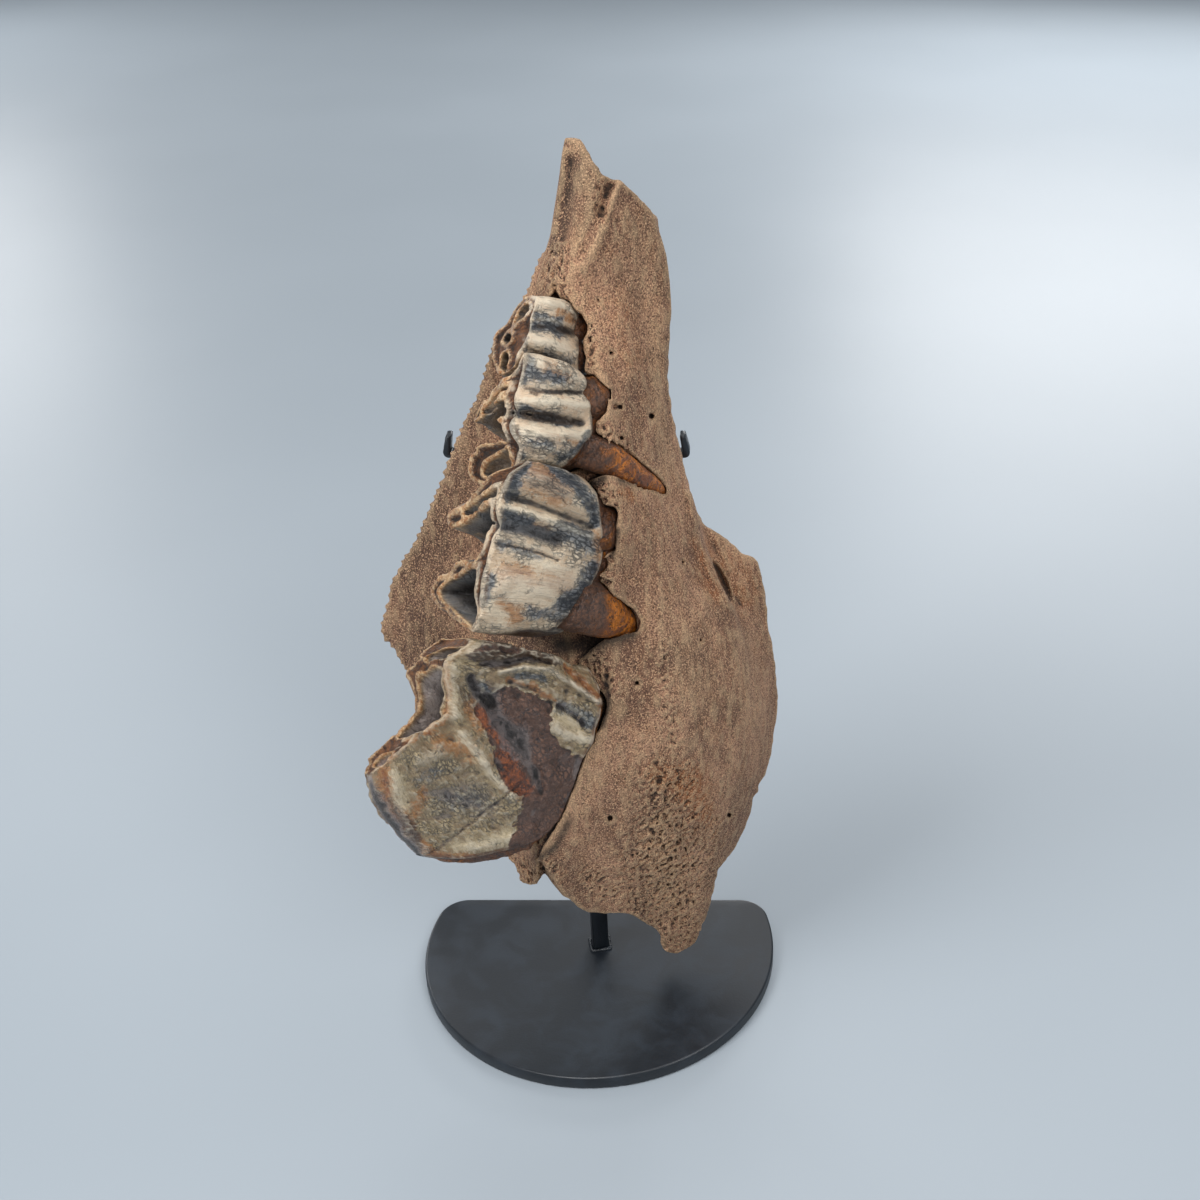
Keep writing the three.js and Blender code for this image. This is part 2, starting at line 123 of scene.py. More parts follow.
def grain(points, size, seed, octaves=1):
    """Smooth random relief from -1 to 1 with lumps of about the given size, or sizes, in the points' own unit."""
    total = np.zeros(len(points), np.float32)
    size = np.broadcast_to(np.asarray(size, float), points.shape[1:])
    for octave in range(octaves):
        table = np.random.default_rng(seed + octave).uniform(-1, 1, (LATTICE,) * 3).astype(np.float32)
        place = points / size * 2**octave
        cell = np.floor(place).astype(np.int64)
        t = (place - cell).astype(np.float32)
        t = t * t * (3 - 2 * t)
        if points.shape[1] == 2:
            cell = np.column_stack([cell, np.zeros(len(cell), np.int64)])
            t = np.column_stack([t, np.zeros(len(t), np.float32)])
        low, high = cell % LATTICE, (cell + 1) % LATTICE
        value = np.zeros(len(points), np.float32)
        for corner in range(8):
            pick = [(corner >> axis) & 1 for axis in range(3)]
            index = tuple(np.where(pick[axis], high[:, axis], low[:, axis]) for axis in range(3))
            weight = np.ones(len(points), np.float32)
            for axis in range(3):
                weight *= t[:, axis] if pick[axis] else 1 - t[:, axis]
            value += weight * table[index]
        total += value / 2**octave
    return total


def pores(points, spacing, seed):
    """Distance to the nearest of scattered points, one in each cell of the given spacing, as a share of it."""
    place = points / spacing
    cell = np.floor(place).astype(np.int64)
    table = np.random.default_rng(seed).uniform(0.15, 0.85, (LATTICE, LATTICE, LATTICE, 3)).astype(np.float32)
    best = np.full(len(points), 9.0, np.float32)
    for step in np.ndindex(3, 3, 3):
        near = cell + np.array(step) - 1
        spot = near + table[tuple((near % LATTICE).T)]
        best = np.minimum(best, ((place - spot) ** 2).sum(1))
    return np.sqrt(best)


# Drawings in the photograph's frame, on one pixel spacing, that are read back at any point of a surface
SHEET_ACROSS = np.arange(350.0, 801.0)
SHEET_DOWN = np.arange(110.0, 981.0)


def line_distance(points, spots):
    """Distance from 2D spots to a broken line through points."""
    best = np.full(len(spots), 1e9)
    for (ax, ay), (bx, by) in zip(points[:-1], points[1:]):
        ex, ey = bx - ax, by - ay
        px, py = spots[:, 0] - ax, spots[:, 1] - ay
        t = np.clip((px * ex + py * ey) / (ex * ex + ey * ey + 1e-9), 0, 1)
        best = np.minimum(best, (px - t * ex) ** 2 + (py - t * ey) ** 2)
    return np.sqrt(best)


def inside_outline(points, spots):
    odd = np.zeros(len(spots), bool)
    x, y = spots[:, 0], spots[:, 1]
    for (ax, ay), (bx, by) in zip(points, np.roll(points, -1, axis=0)):
        if ay != by:
            odd ^= ((ay > y) != (by > y)) & (x < (bx - ax) * (y - ay) / (by - ay) + ax)
    return odd


def outline_field(points, spots):
    """Signed distance from 2D spots to a closed outline, negative inside."""
    points = np.asarray(points, float)
    distance = line_distance(np.vstack([points, points[:1]]), spots)
    return np.where(inside_outline(points, spots), -distance, distance)


def sheet_spots():
    across, down = np.meshgrid(SHEET_ACROSS, SHEET_DOWN, indexing="ij")
    return np.column_stack([across.ravel(), down.ravel()])


def sheet_region(points):
    """A closed outline drawn on the sheet: distance in pixels, negative inside."""
    return outline_field(points, sheet_spots()).reshape(len(SHEET_ACROSS), len(SHEET_DOWN)).astype(np.float32)


def sheet_strokes(strokes):
    """Soft marks drawn on the sheet: each is (amount, half width in pixels, points), and they add up. A mark that
    ends where it starts is a filled patch, and its half width is how soft its edge is."""
    total = np.zeros((len(SHEET_ACROSS), len(SHEET_DOWN)), np.float32)
    for amount, half, points in strokes:
        points = np.asarray(points, float)
        reach = 2.6 * half
        i = np.searchsorted(SHEET_ACROSS, [points[:, 0].min() - reach, points[:, 0].max() + reach])
        j = np.searchsorted(SHEET_DOWN, [points[:, 1].min() - reach, points[:, 1].max() + reach])
        across, down = np.meshgrid(SHEET_ACROSS[i[0]:i[1]], SHEET_DOWN[j[0]:j[1]], indexing="ij")
        spots = np.column_stack([across.ravel(), down.ravel()])
        if len(points) > 3 and (points[0] == points[-1]).all():
            ink = amount * smooth(half, -half, outline_field(points[:-1], spots))
        else:
            ink = amount * np.exp(-((line_distance(points, spots) / half) ** 2))
        total[i[0]:i[1], j[0]:j[1]] += ink.reshape(across.shape).astype(np.float32)
    return total


def read_sheet(sheet, across, down):
    x = np.clip(across - SHEET_ACROSS[0], 0, len(SHEET_ACROSS) - 1.001)
    y = np.clip(down - SHEET_DOWN[0], 0, len(SHEET_DOWN) - 1.001)
    i, j = x.astype(int), y.astype(int)
    s, t = x - i, y - j
    low = sheet[i, j] * (1 - t) + sheet[i, j + 1] * t
    high = sheet[i + 1, j] * (1 - t) + sheet[i + 1, j + 1] * t
    return low * (1 - s) + high * s


# Meshes

def mesh_object(name, points, faces, material):
    """A mesh object from points in millimetres, with smooth shading and its faces pointing out."""
    points = np.asarray(points, float)
    corners = [faces] if isinstance(faces, np.ndarray) else list(faces)
    volume = 0.0
    for block in corners:
        a = points[block[:, 0]]
        for k in range(1, block.shape[1] - 1):
            volume += np.einsum("ij,ij->", a, np.cross(points[block[:, k]], points[block[:, k + 1]]))
    if volume < 0:
        corners = [block[:, ::-1] for block in corners]
    mesh = bpy.data.meshes.new(name)
    flat = [block.ravel() for block in corners]
    sizes = [np.full(len(block), block.shape[1]) for block in corners]
    loops, sizes = np.concatenate(flat), np.concatenate(sizes)
    mesh.vertices.add(len(points))
    mesh.vertices.foreach_set("co", (points * MM).astype(np.float32).ravel())
    mesh.loops.add(len(loops))
    mesh.loops.foreach_set("vertex_index", loops.astype(np.int32))
    mesh.polygons.add(len(sizes))
    mesh.polygons.foreach_set("loop_start", np.concatenate([[0], np.cumsum(sizes)[:-1]]).astype(np.int32))
    mesh.polygons.foreach_set("use_smooth", np.ones(len(sizes), bool))
    mesh.update(calc_edges=True)
    mesh.validate()
    piece = bpy.data.objects.new(name, mesh)
    bpy.context.scene.collection.objects.link(piece)
    mesh.materials.append(material)
    return piece


def mesh_points(piece):
    data = np.zeros(len(piece.data.vertices) * 3, np.float32)
    piece.data.vertices.foreach_get("co", data)
    return data.reshape(-1, 3).astype(float) / MM


def mesh_normals(piece):
    data = np.zeros(len(piece.data.vertices) * 3, np.float32)
    piece.data.vertex_normals.foreach_get("vector", data)
    return data.reshape(-1, 3).astype(float)


def give_mask(piece, name, values):
    layer = piece.data.attributes.new(name, "FLOAT", "POINT")
    layer.data.foreach_set("value", np.asarray(values, np.float32))


def give_place(piece, name, values):
    layer = piece.data.attributes.new(name, "FLOAT_VECTOR", "POINT")
    layer.data.foreach_set("vector", np.asarray(values, np.float32).ravel())


def hollowness(piece, points, normals, rounds):
    """How far each point lies below its neighbours, positive in pits and negative on edges, in millimetres."""
    pairs = np.zeros(len(piece.data.edges) * 2, np.int32)
    piece.data.edges.foreach_get("vertices", pairs)
    a, b = pairs.reshape(-1, 2).T
    count = np.bincount(a, minlength=len(points)) + np.bincount(b, minlength=len(points))
    mean = points
    for _ in range(rounds):
        total = np.zeros_like(points)
        for axis in range(3):
            total[:, axis] = np.bincount(a, mean[b, axis], len(points)) + np.bincount(b, mean[a, axis], len(points))
        mean = total / np.maximum(count, 1)[:, None]
    return ((mean - points) * normals).sum(1)


def keep_largest(points, triangles, quads):
    """Only the largest connected body of a mesh made of triangles and quads."""
    label = np.arange(len(points))
    corners = [block for block in (triangles, quads) if len(block)]
    sides = [block[:, [k, k - 1]] for block in corners for k in range(block.shape[1])]
    edges = np.vstack(sides)
    while True:
        low = np.minimum(label[edges[:, 0]], label[edges[:, 1]])
        fresh = label.copy()
        np.minimum.at(fresh, edges[:, 0], low)
        np.minimum.at(fresh, edges[:, 1], low)
        fresh = fresh[fresh]
        if (fresh == label).all():
            break
        label = fresh
    best = np.bincount(label).argmax()
    kept = label == best
    place = np.cumsum(kept) - 1
    return points[kept], *(place[block[kept[block[:, 0]]]] if len(block) else block for block in (triangles, quads))


def body_mesh(field, voxel, corner):
    """The surface of a solid given as a block of signed distances in millimetres, as points, triangles and quads."""
    grid = vdb.FloatGrid(float(field.max()))
    grid.copyFromArray(np.ascontiguousarray(field, dtype=np.float32))
    grid.transform = vdb.createLinearTransform(voxelSize=voxel)
    points, triangles, quads = grid.convertToPolygons(isovalue=0.0, adaptivity=0.0)
    points = points.astype(float) + np.asarray(corner, float)
    return keep_largest(points, triangles.astype(np.int64), quads.astype(np.int64))


def as_faces(triangles, quads):
    return [block for block in (triangles, quads) if len(block)]


# Materials: one function turns sRGB hex into linear colour, and one adds a node with its settings and links

def hex_colour(text):
    values = [int(text[i:i + 2], 16) / 255 for i in (1, 3, 5)]
    return (*[v / 12.92 if v <= 0.04045 else ((v + 0.055) / 1.055) ** 2.4 for v in values], 1.0)


def add_node(tree, kind, inputs=None, **settings):
    node = tree.nodes.new(kind)
    for name, value in settings.items():
        setattr(node, name, value)
    for key, value in (inputs or {}).items():
        socket = node.inputs[key]
        if isinstance(value, bpy.types.NodeSocket):
            tree.links.new(value, socket)
        else:
            socket.default_value = value
    return node


def new_material(name):
    material = bpy.data.materials.new(name)
    material.use_nodes = True
    material.node_tree.nodes.clear()
    return material, material.node_tree


def finish_material(tree, inputs, bump=None):
    """The shader and the output, with the given shader sockets and an optional (height, distance in mm, strength)."""
    if bump:
        height, distance, strength = bump
        node = add_node(tree, "ShaderNodeBump", {"Height": height, "Distance": distance * MM, "Strength": strength})
        inputs["Normal"] = node.outputs["Normal"]
    shader = add_node(tree, "ShaderNodeBsdfPrincipled", inputs)
    add_node(tree, "ShaderNodeOutputMaterial", {"Surface": shader.outputs["BSDF"]})


def mix_colour(tree, share, first, second):
    node = add_node(tree, "ShaderNodeMix", data_type="RGBA")
    for index, value in ((0, share), (6, first), (7, second)):
        if isinstance(value, bpy.types.NodeSocket):
            tree.links.new(value, node.inputs[index])
        else:
            node.inputs[index].default_value = value
    return node.outputs[2]


def sums(tree, operation, first, second, clamp=False):
    return add_node(tree, "ShaderNodeMath", {0: first, 1: second}, operation=operation, use_clamp=clamp).outputs[0]


def mask(tree, name):
    return add_node(tree, "ShaderNodeAttribute", attribute_name=name).outputs["Fac"]


def span(tree, value, low, high, to_low=0.0, to_high=1.0):
    inputs = {"Value": value, "From Min": low, "From Max": high, "To Min": to_low, "To Max": to_high}
    return add_node(tree, "ShaderNodeMapRange", inputs, interpolation_type="SMOOTHSTEP").outputs["Result"]


def stretched(tree, source, sizes_mm, unit=MM):
    """Coordinates in which one unit is the given size in millimetres along each axis."""
    scale = [1 / (size * unit) for size in sizes_mm]
    return add_node(tree, "ShaderNodeMapping", {"Vector": source, "Scale": scale}).outputs["Vector"]


def cloud(tree, place, detail, roughness, distortion=0.0):
    """Noise whose lumps are one unit of the given coordinates across."""
    inputs = {"Vector": place, "Scale": 1.0, "Detail": detail, "Roughness": roughness, "Distortion": distortion}
    return add_node(tree, "ShaderNodeTexNoise", inputs).outputs["Fac"]


# The bone is a bent sheet, thick at the tooth row. Each line runs from the broken top edge to the broken bottom edge
# on the outer face: points [across, down, depth], the way inwards from there, and the thickness down the line.
BONE_LINES = [
    # suture edge of the palate
    ([[563, 146, -8], [553, 215, -7], [530, 283, -6], [497, 340, -6], [470, 403, -6], [441, 480, -6],
      [411, 548, -6], [391, 585, -5], [382, 626, -5], [409, 682, -9], [455, 780, -22], [510, 860, -32]],
     [0.5, 0.85, 0], [3, 4, 4]),
    # middle of the palate
    ([[568, 140, -13], [562, 220, -13], [541, 286, -12], [520, 345, -9], [503, 405, -10], [487, 478, -11],
      [468, 546, -12], [460, 585, -13], [453, 630, -14], [468, 692, -18], [495, 780, -28], [520, 882, -36]],
     [0.45, 0.9, 0], [5, 5, 7]),
    # margin on the tongue side of the teeth
    ([[576, 141, -15], [573, 226, -18], [552, 290, -18], [545, 348, -15], [536, 410, -18], [531, 478, -22],
      [528, 545, -25], [527, 585, -27], [527, 630, -29], [528, 696, -33], [532, 782, -38], [536, 872, -44]],
     [0.25, 0.97, 0], [7, 11, 13]),
    # margin on the cheek side of the teeth
    ([[590, 160, -17], [588, 228, -20], [570, 290, -22], [586, 345, -26], [602, 400, -36], [606, 470, -42],
      [613, 542, -45], [604, 585, -46], [604, 632, -47], [606, 700, -51], [579, 780, -55], [544, 850, -57]],
     [-0.3, 0.95, 0.05], [8, 24, 24]),
    # cheek face near the teeth
    ([[612, 180, -15], [612, 232, -18], [603, 290, -19], [612, 345, -23], [624, 400, -29], [630, 468, -34],
      [637, 542, -39], [636, 585, -41], [638, 628, -43], [643, 700, -47], [622, 788, -52], [585, 908, -48]],
     [-0.7, 0.7, 0.05], [7, 15, 13]),
    # cheek face
    ([[634, 193, -11], [640, 235, -12], [640, 290, -13], [645, 345, -15], [652, 400, -18], [660, 467, -22],
      [668, 542, -29], [677, 583, -33], [688, 625, -36], [695, 700, -41], [672, 800, -45], [632, 916, -38]],
     [-0.85, 0.5, 0], [6, 8, 9]),
    # ridge of the cheek bone
    ([[655, 215, -7], [668, 262, -6], [671, 315, -6], [669, 352, -6], [672, 402, -6], [683, 465, -8],
      [700, 540, -13], [715, 577, -16], [732, 607, -18], [738, 692, -26], [714, 806, -33], [668, 948, -22]],
     [-0.85, 0.5, 0], [5, 6, 9]),
    # hollow behind the ridge
    ([[656, 218, -4], [667, 263, -4], [670, 315, -4], [668, 352, -4], [671, 402, -4], [683, 463, -4],
      [701, 537, -4], [720, 572, -6], [737, 606, -9], [757, 692, -14], [741, 800, -20], [692, 942, -17]],
     [-0.8, 0.6, 0], [4, 5, 9]),
    # broken edge of the cheek bone
    ([[657, 221, -2], [665, 264, -2], [668, 315, -2], [666, 352, -2], [669, 402, -2], [682, 463, -2],
      [706, 527, 1], [750, 563, 4], [768, 604, 4], [776, 692, 2], [759, 790, -4], [710, 898, -9]],
     [-0.7, 0.7, 0], [3, 4, 7]),
]
BONE_ROWS, BONE_COLUMNS = 150, 72
# How far the plain sheet runs past its outline, how deep the signed distances go on each side of its surface, the
# margin of their block, and the room between the bone and each tooth
EDGE_MARGIN, LEVEL_BAND, BLOCK_MARGIN, TOOTH_ROOM = 4.0, 4.0, 3.0, 0.5

# The whole outline of the bone in the photograph's frame: broken edges, and the sawn-looking seam of the palate
BROKEN_EDGE = [
    (565, 138), (572, 137.5), (581, 139), (587, 151), (594, 163), (601, 174), (610, 179), (619, 180), (628, 187),
    (637, 196), (648, 207), (657, 217), (662, 224), (665, 235), (668, 252), (671, 270), (672, 296), (671, 324),
    (669, 350), (668, 375), (669, 392), (671, 406), (674, 420), (676, 435), (683, 462), (688, 482), (693, 500),
    (698, 513), (703, 523), (711, 529), (720, 534), (738, 550), (746, 555), (753, 557), (757, 562), (759, 569),
    (763, 584), (766, 600), (769, 632), (773, 650), (775, 666), (777, 690), (777, 710), (776, 749), (772, 770),
    (768, 777), (764, 777), (761, 781), (757, 785), (758, 791), (753, 798), (750, 813), (745, 829), (739, 840),
    (729, 856), (718, 870), (715, 882), (713, 893), (709, 912), (704, 929), (699, 940), (686, 949), (678, 953),
    (671, 953), (664, 949), (660, 943), (661, 936), (657, 929), (646, 924), (634, 915), (622, 912), (605, 914),
    (589, 912), (578, 907), (570, 899), (563, 896), (553, 884), (545, 873), (540, 884), (530, 885), (515, 880),
    (505, 868), (500, 855), (478, 830), (452, 790), (430, 735), (409, 682),
]
SEAM_EDGE = [
    (409, 682), (405, 668), (393, 650), (381, 634), (381, 621), (387, 600), (392, 580), (403, 560), (415, 540),
    (424, 520), (433, 500), (441, 480), (452, 450), (464, 420), (475, 400), (482, 380), (491, 350), (503, 330),
    (514, 312), (524, 297), (530, 283), (536, 266), (541, 254),
]
SPIKE_EDGE = [(545, 252), (550, 236), (555, 204), (559, 178), (562, 153)]

# Where the cheek wall of the sockets has broken away: the bone's rim beside the teeth and their bare roots
SOCKET_RIM = [
    (556, 291), (562, 300), (573, 309), (582, 315), (587, 323), (587, 332), (583, 341), (584, 350), (586, 358),
    (584, 370), (590, 377), (600, 382), (605, 392), (607, 402), (606, 413), (600, 419), (596, 422), (596, 431),
    (604, 441), (615, 450), (622, 453), (630, 457), (643, 465), (654, 471), (666, 479), (671, 494), (667, 495),
    (655, 487), (641, 480), (633, 479), (624, 480), (614, 475), (604, 475), (594, 478), (588, 484), (592, 496),
    (600, 504), (610, 506), (615, 507), (618, 514), (617, 522), (616, 536), (616, 550), (606, 554), (595, 558),
    (590, 566), (590, 578), (600, 588), (612, 596), (625, 603), (635, 610), (641, 624), (637, 632), (625, 634),
    (603, 640), (590, 650), (580, 660), (578, 668), (584, 676), (595, 686), (604, 694), (607, 704), (605, 714),
    (600, 727), (592, 742), (585, 756), (580, 768), (573, 788), (566, 805), (558, 822), (551, 835), (543, 846),
    (538, 858), (470, 846), (440, 700), (500, 560), (520, 420), (535, 310),
]
RIM_DEPTH = [
    (280, -20), (345, -26), (400, -36), (470, -42), (542, -45), (632, -47), (700, -51), (780, -55), (860, -57),
]
SOCKET_DEPTH = 8.0

# Spongy bone laid open, coarse towards the broken lower edge: (amount, half width in pixels, points)
SPONGY_STROKES = [
    (1.0, 9, [(560, 250), (556, 275), (562, 300)]), (0.9, 7, [(603, 190), (600, 205), (606, 216)]),
    (0.9, 5, [(590, 330), (590, 352), (592, 372)]), (1.0, 8, [(600, 425), (612, 438), (628, 452)]),
    (1.0, 9, [(592, 480), (602, 490), (614, 500)]), (1.1, 9, [(606, 560), (600, 572), (606, 588)]),
    (0.8, 9, [(590, 655), (600, 668), (612, 690)]), (1.0, 14, [(505, 866), (530, 878), (545, 872)]),
    (0.9, 24, [(668, 780), (662, 840), (668, 900), (680, 935)]), (0.6, 22, [(640, 860), (700, 830), (700, 880)]),
    (0.5, 16, [(590, 880), (625, 896), (650, 915)]), (0.5, 8, [(660, 650), (668, 700), (672, 740)]),
]
# Small vessel holes: [across, down, radius in millimetres]
VESSEL_HOLES = [
    (615, 407, 0.8), (620, 407, 0.7), (651.5, 416, 0.9), (621, 438, 0.7), (637, 683, 0.7), (610, 818, 0.9),
    (611, 353, 0.6), (683, 562, 0.6), (729, 815, 0.8), (642, 706, 0.5), (700, 640, 0.5), (598, 300, 0.5),
]
# Ridges and grooves on the bone: (height in millimetres, half width in pixels, points)
BONE_FORMS = [
    (-2.2, 5, [(611, 184), (604, 198), (601, 212)]), (-0.8, 5, [(601, 212), (590, 236), (577, 260)]),
    (1.4, 4, [(618, 186), (612, 204), (607, 218)]), (0.5, 5, [(607, 220), (598, 244), (584, 268)]),
    (1.0, 4, [(564, 150), (559, 190), (553, 232)]),
    (-1.2, 5, [(573, 160), (569, 200), (565, 236)]),
    (1.4, 6, [(690, 494), (701, 540), (713, 570), (724, 592), (731, 606)]),
    (-1.6, 6, [(705, 530), (716, 556), (727, 580), (738, 604)]),
    (0.9, 18, [(648, 540), (655, 620), (660, 700)]), (-0.8, 16, [(690, 560), (704, 640), (700, 720)]),
    (0.8, 16, [(735, 640), (742, 720), (730, 790)]), (-0.7, 16, [(620, 740), (600, 820), (590, 870)]),
    (1.2, 10, [(671, 930), (686, 925), (700, 900)]), (-0.8, 10, [(640, 300), (650, 360)]),
]


def saw_edge(points, spacing, depth, seed):
    """A broken line with small irregular saw teeth along it, standing out on its left as it runs."""
    rng = np.random.default_rng(seed)
    points = np.asarray(points, float)
    steps = np.linalg.norm(np.diff(points, axis=0), axis=1)
    reach = np.concatenate([[0], np.cumsum(steps)])
    made, at = [points[0]], 0.0
    while at < reach[-1] - spacing:
        at += spacing * rng.uniform(0.55, 1.3)
        for share, out in ((0.0, rng.uniform(0.4, 1.0)), (0.35, -rng.uniform(0.1, 0.6))):
            spot = min(at + share * spacing, reach[-1] - 0.1)
            k = min(np.searchsorted(reach, spot, side="right") - 1, len(steps) - 1)
            way = (points[k + 1] - points[k]) / steps[k]
            side = np.array([way[1], -way[0]])
            made.append(points[k] + way * (spot - reach[k]) - side * out * depth)
    return made + [points[-1]]


def sheet_solid():
    """The bone's plain bent sheet as a closed mesh: points and quads, a little larger than its outline."""
    down = np.linspace(0, 1, BONE_ROWS)
    outer, inner = [], []
    for points, inwards, thickness in BONE_LINES:
        inwards = np.array(inwards) / np.linalg.norm(inwards)
        line = along_curve(seen(points), down)
        thick = np.interp(down, [0, 0.5, 1], thickness)
        outer.append(line)
        inner.append(line + inwards * thick[:, None])
    sides = []
    for lines in (outer, inner):
        lines = np.array(lines)
        rows = np.array([along_curve(lines[:, row], np.linspace(0, 1, BONE_COLUMNS)) for row in range(BONE_ROWS)])
        for axis in (0, 1):
            rows = np.moveaxis(rows, axis, 0)
            first, last = rows[0] - rows[2], rows[-1] - rows[-3]
            first /= np.linalg.norm(first, axis=-1, keepdims=True)
            last /= np.linalg.norm(last, axis=-1, keepdims=True)
            rows = np.concatenate([[rows[0] + first * EDGE_MARGIN], rows, [rows[-1] + last * EDGE_MARGIN]])
            rows = np.moveaxis(rows, 0, axis)
        sides.append(rows)
    high, wide = sides[0].shape[:2]
    points = np.concatenate([side.reshape(-1, 3) for side in sides])
    index = np.arange(high * wide).reshape(high, wide)
    quads = [[index[:-1, :-1], index[:-1, 1:], index[1:, 1:], index[1:, :-1]]]
    back = index + high * wide
    quads.append([back[:-1, :-1], back[1:, :-1], back[1:, 1:], back[:-1, 1:]])
    for line in (index[0], index[-1][::-1], index[:, 0][::-1], index[:, -1]):
        quads.append([line[:-1], line[:-1] + high * wide, line[1:] + high * wide, line[1:]])
    quads = np.concatenate([np.stack([part.ravel() for part in block], 1) for block in quads])
    return points, quads, sides[0]


def level_block(points, faces, voxel, low, high, band):
    """A dense block of signed distances, in millimetres, round a closed mesh."""
    shift = np.floor(np.asarray(low) / voxel).astype(int)
    shape = np.ceil(np.asarray(high) / voxel).astype(int) - shift
    triangles, quads = (
        np.concatenate([block for block in faces if block.shape[1] == corners] or [np.zeros((0, corners))])
        for corners in (3, 4)
    )
    triangles, quads = triangles.astype(np.uint32), quads.astype(np.uint32)
    grid = vdb.FloatGrid.createLevelSetFromPolygons(
        np.ascontiguousarray(points, dtype=np.float32),
        triangles=triangles,
        quads=quads,
        transform=vdb.createLinearTransform(voxelSize=voxel),
        halfWidth=band / voxel,
    )
    block = np.zeros(tuple(shape), np.float32)
    grid.copyToArray(block, ijk=tuple(int(v) for v in shift))
    return block, shift * voxel


def block_points(chosen, voxel, corner):
    return np.argwhere(chosen) * voxel + corner


def bone_piece(settings, teeth, material):
    voxel = settings.voxel / MM
    band = LEVEL_BAND
    points, quads, outer = sheet_solid()
    low, high = points.min(0) - BLOCK_MARGIN, points.max(0) + BLOCK_MARGIN
    field, corner = level_block(points, [quads], voxel, low, high, band)

    # relief: long waves, fine grain down the bone, open sponge, and the drawn ridges and grooves
    spongy = sheet_strokes(SPONGY_STROKES)
    forms = sheet_strokes(BONE_FORMS)
    near = np.abs(field) < 2.6
    spots = block_points(near, voxel, corner)
    across, down = photo_place(spots)
    front = smooth(-34, -20, outer_side(spots, outer))
    open_bone = np.clip(read_sheet(spongy, across, down) * front, 0, 1.2)
    relief = 0.5 * grain(spots, (16, 16, 30), 11, 2) + 0.26 * grain(spots, (2.2, 2.2, 6), 21, 2)
    relief -= read_sheet(forms, across, down) * front
    sponge = open_bone > 0.12
    if sponge.any():
        place = spots[sponge] * [1, 1, 0.75] + 1.1 * grain(spots[sponge], 2.4, 31, 2)[:, None]
        cells = 1.8 * smooth(0.5, 0.28, pores(place, 2.3, 41)) + 1.3 * smooth(0.5, 0.25, pores(place, 1.6, 43))
        relief[sponge] += open_bone[sponge] * (cells - 0.35)
    field[near] += relief.astype(np.float32)

    # the outline, the broken sockets and the slit behind the cheek-bone ridge
    solid = field < 1.5
    spots = block_points(solid, voxel, corner)
    across, down = photo_place(spots)
    scale = EYE_FOCUS / ((spots - EYE) @ AHEAD)
    seam = saw_edge(SEAM_EDGE, 9.0, 4.0, 5)
    edge = read_sheet(sheet_region(BROKEN_EDGE[:-1] + [tuple(p) for p in seam] + SPIKE_EDGE), across, down)
    pixels = np.column_stack([across, down])
    rough = 1.1 * grain(pixels, 7.0, 51, 2)
    value = field[solid]
    value = np.maximum(value, (edge + rough * smooth(0, 1, smooth(560, 600, across))) / scale)
    rim = read_sheet(sheet_region(SOCKET_RIM), across, down) + 0.8 * grain(pixels, 5.0, 61, 2)
    floor = spots[:, 1] - (np.interp(down, *np.array(RIM_DEPTH).T) + SOCKET_DEPTH + 2.0 * grain(spots, 7.0, 71))
    value = np.maximum(value, -np.maximum(rim / scale, floor))
    for ax, ay, radius in VESSEL_HOLES:
        start = on_bone(outer, ax, ay)
        way = (start - EYE) / np.linalg.norm(start - EYE)
        t = np.clip((spots - start) @ way, -3, 4)
        value = np.maximum(value, radius - np.linalg.norm(spots - start - t[:, None] * way, axis=1))
    slit = slit_field(spots, outer)
    value = np.maximum(value, -slit)
    field[solid] = value

    # room for the teeth
    for tooth in teeth:
        for shell, faces in tooth["shells"]:
            block, _ = level_block(shell, faces, voxel, low, high, band)
            field = np.maximum(field, TOOTH_ROOM - block)

    points, triangles, quads = body_mesh(field, voxel, corner)
    low, high = np.array(CAD_BOX[0]) / MM, np.array(CAD_BOX[1]) / MM
    points = np.clip(points, low - [0.3, 0.3, 0], high + [0.3, 0.3, -0.1])
    bone = mesh_object("maxilla_bone_detailed", points, as_faces(triangles, quads), material)
    thin_mesh(bone, settings.triangles)

    # masks for the material: hollowness for painted shade and highlight, the sponge, and the drawn stains and painted
    # shadows
    points, normals = mesh_points(bone), mesh_normals(bone)
    across, down = photo_place(points)
    facing = smooth(0.0, 0.3, -(normals * (points - EYE)).sum(1) / np.linalg.norm(points - EYE, axis=1))
    give_mask(bone, "hollow", smooth(-0.25, 0.35, hollowness(bone, points, normals, 2)))
    give_mask(bone, "broad_hollow", smooth(-0.8, 0.9, hollowness(bone, points, normals, 10)))
    give_mask(bone, "sponge", np.clip(read_sheet(spongy, across, down) * facing, 0, 1))
    for name, strokes in BONE_STAINS_AND_SHADOWS.items():
        give_mask(bone, name, np.clip(read_sheet(sheet_strokes(strokes), across, down) * facing, 0, 1))
    return bone
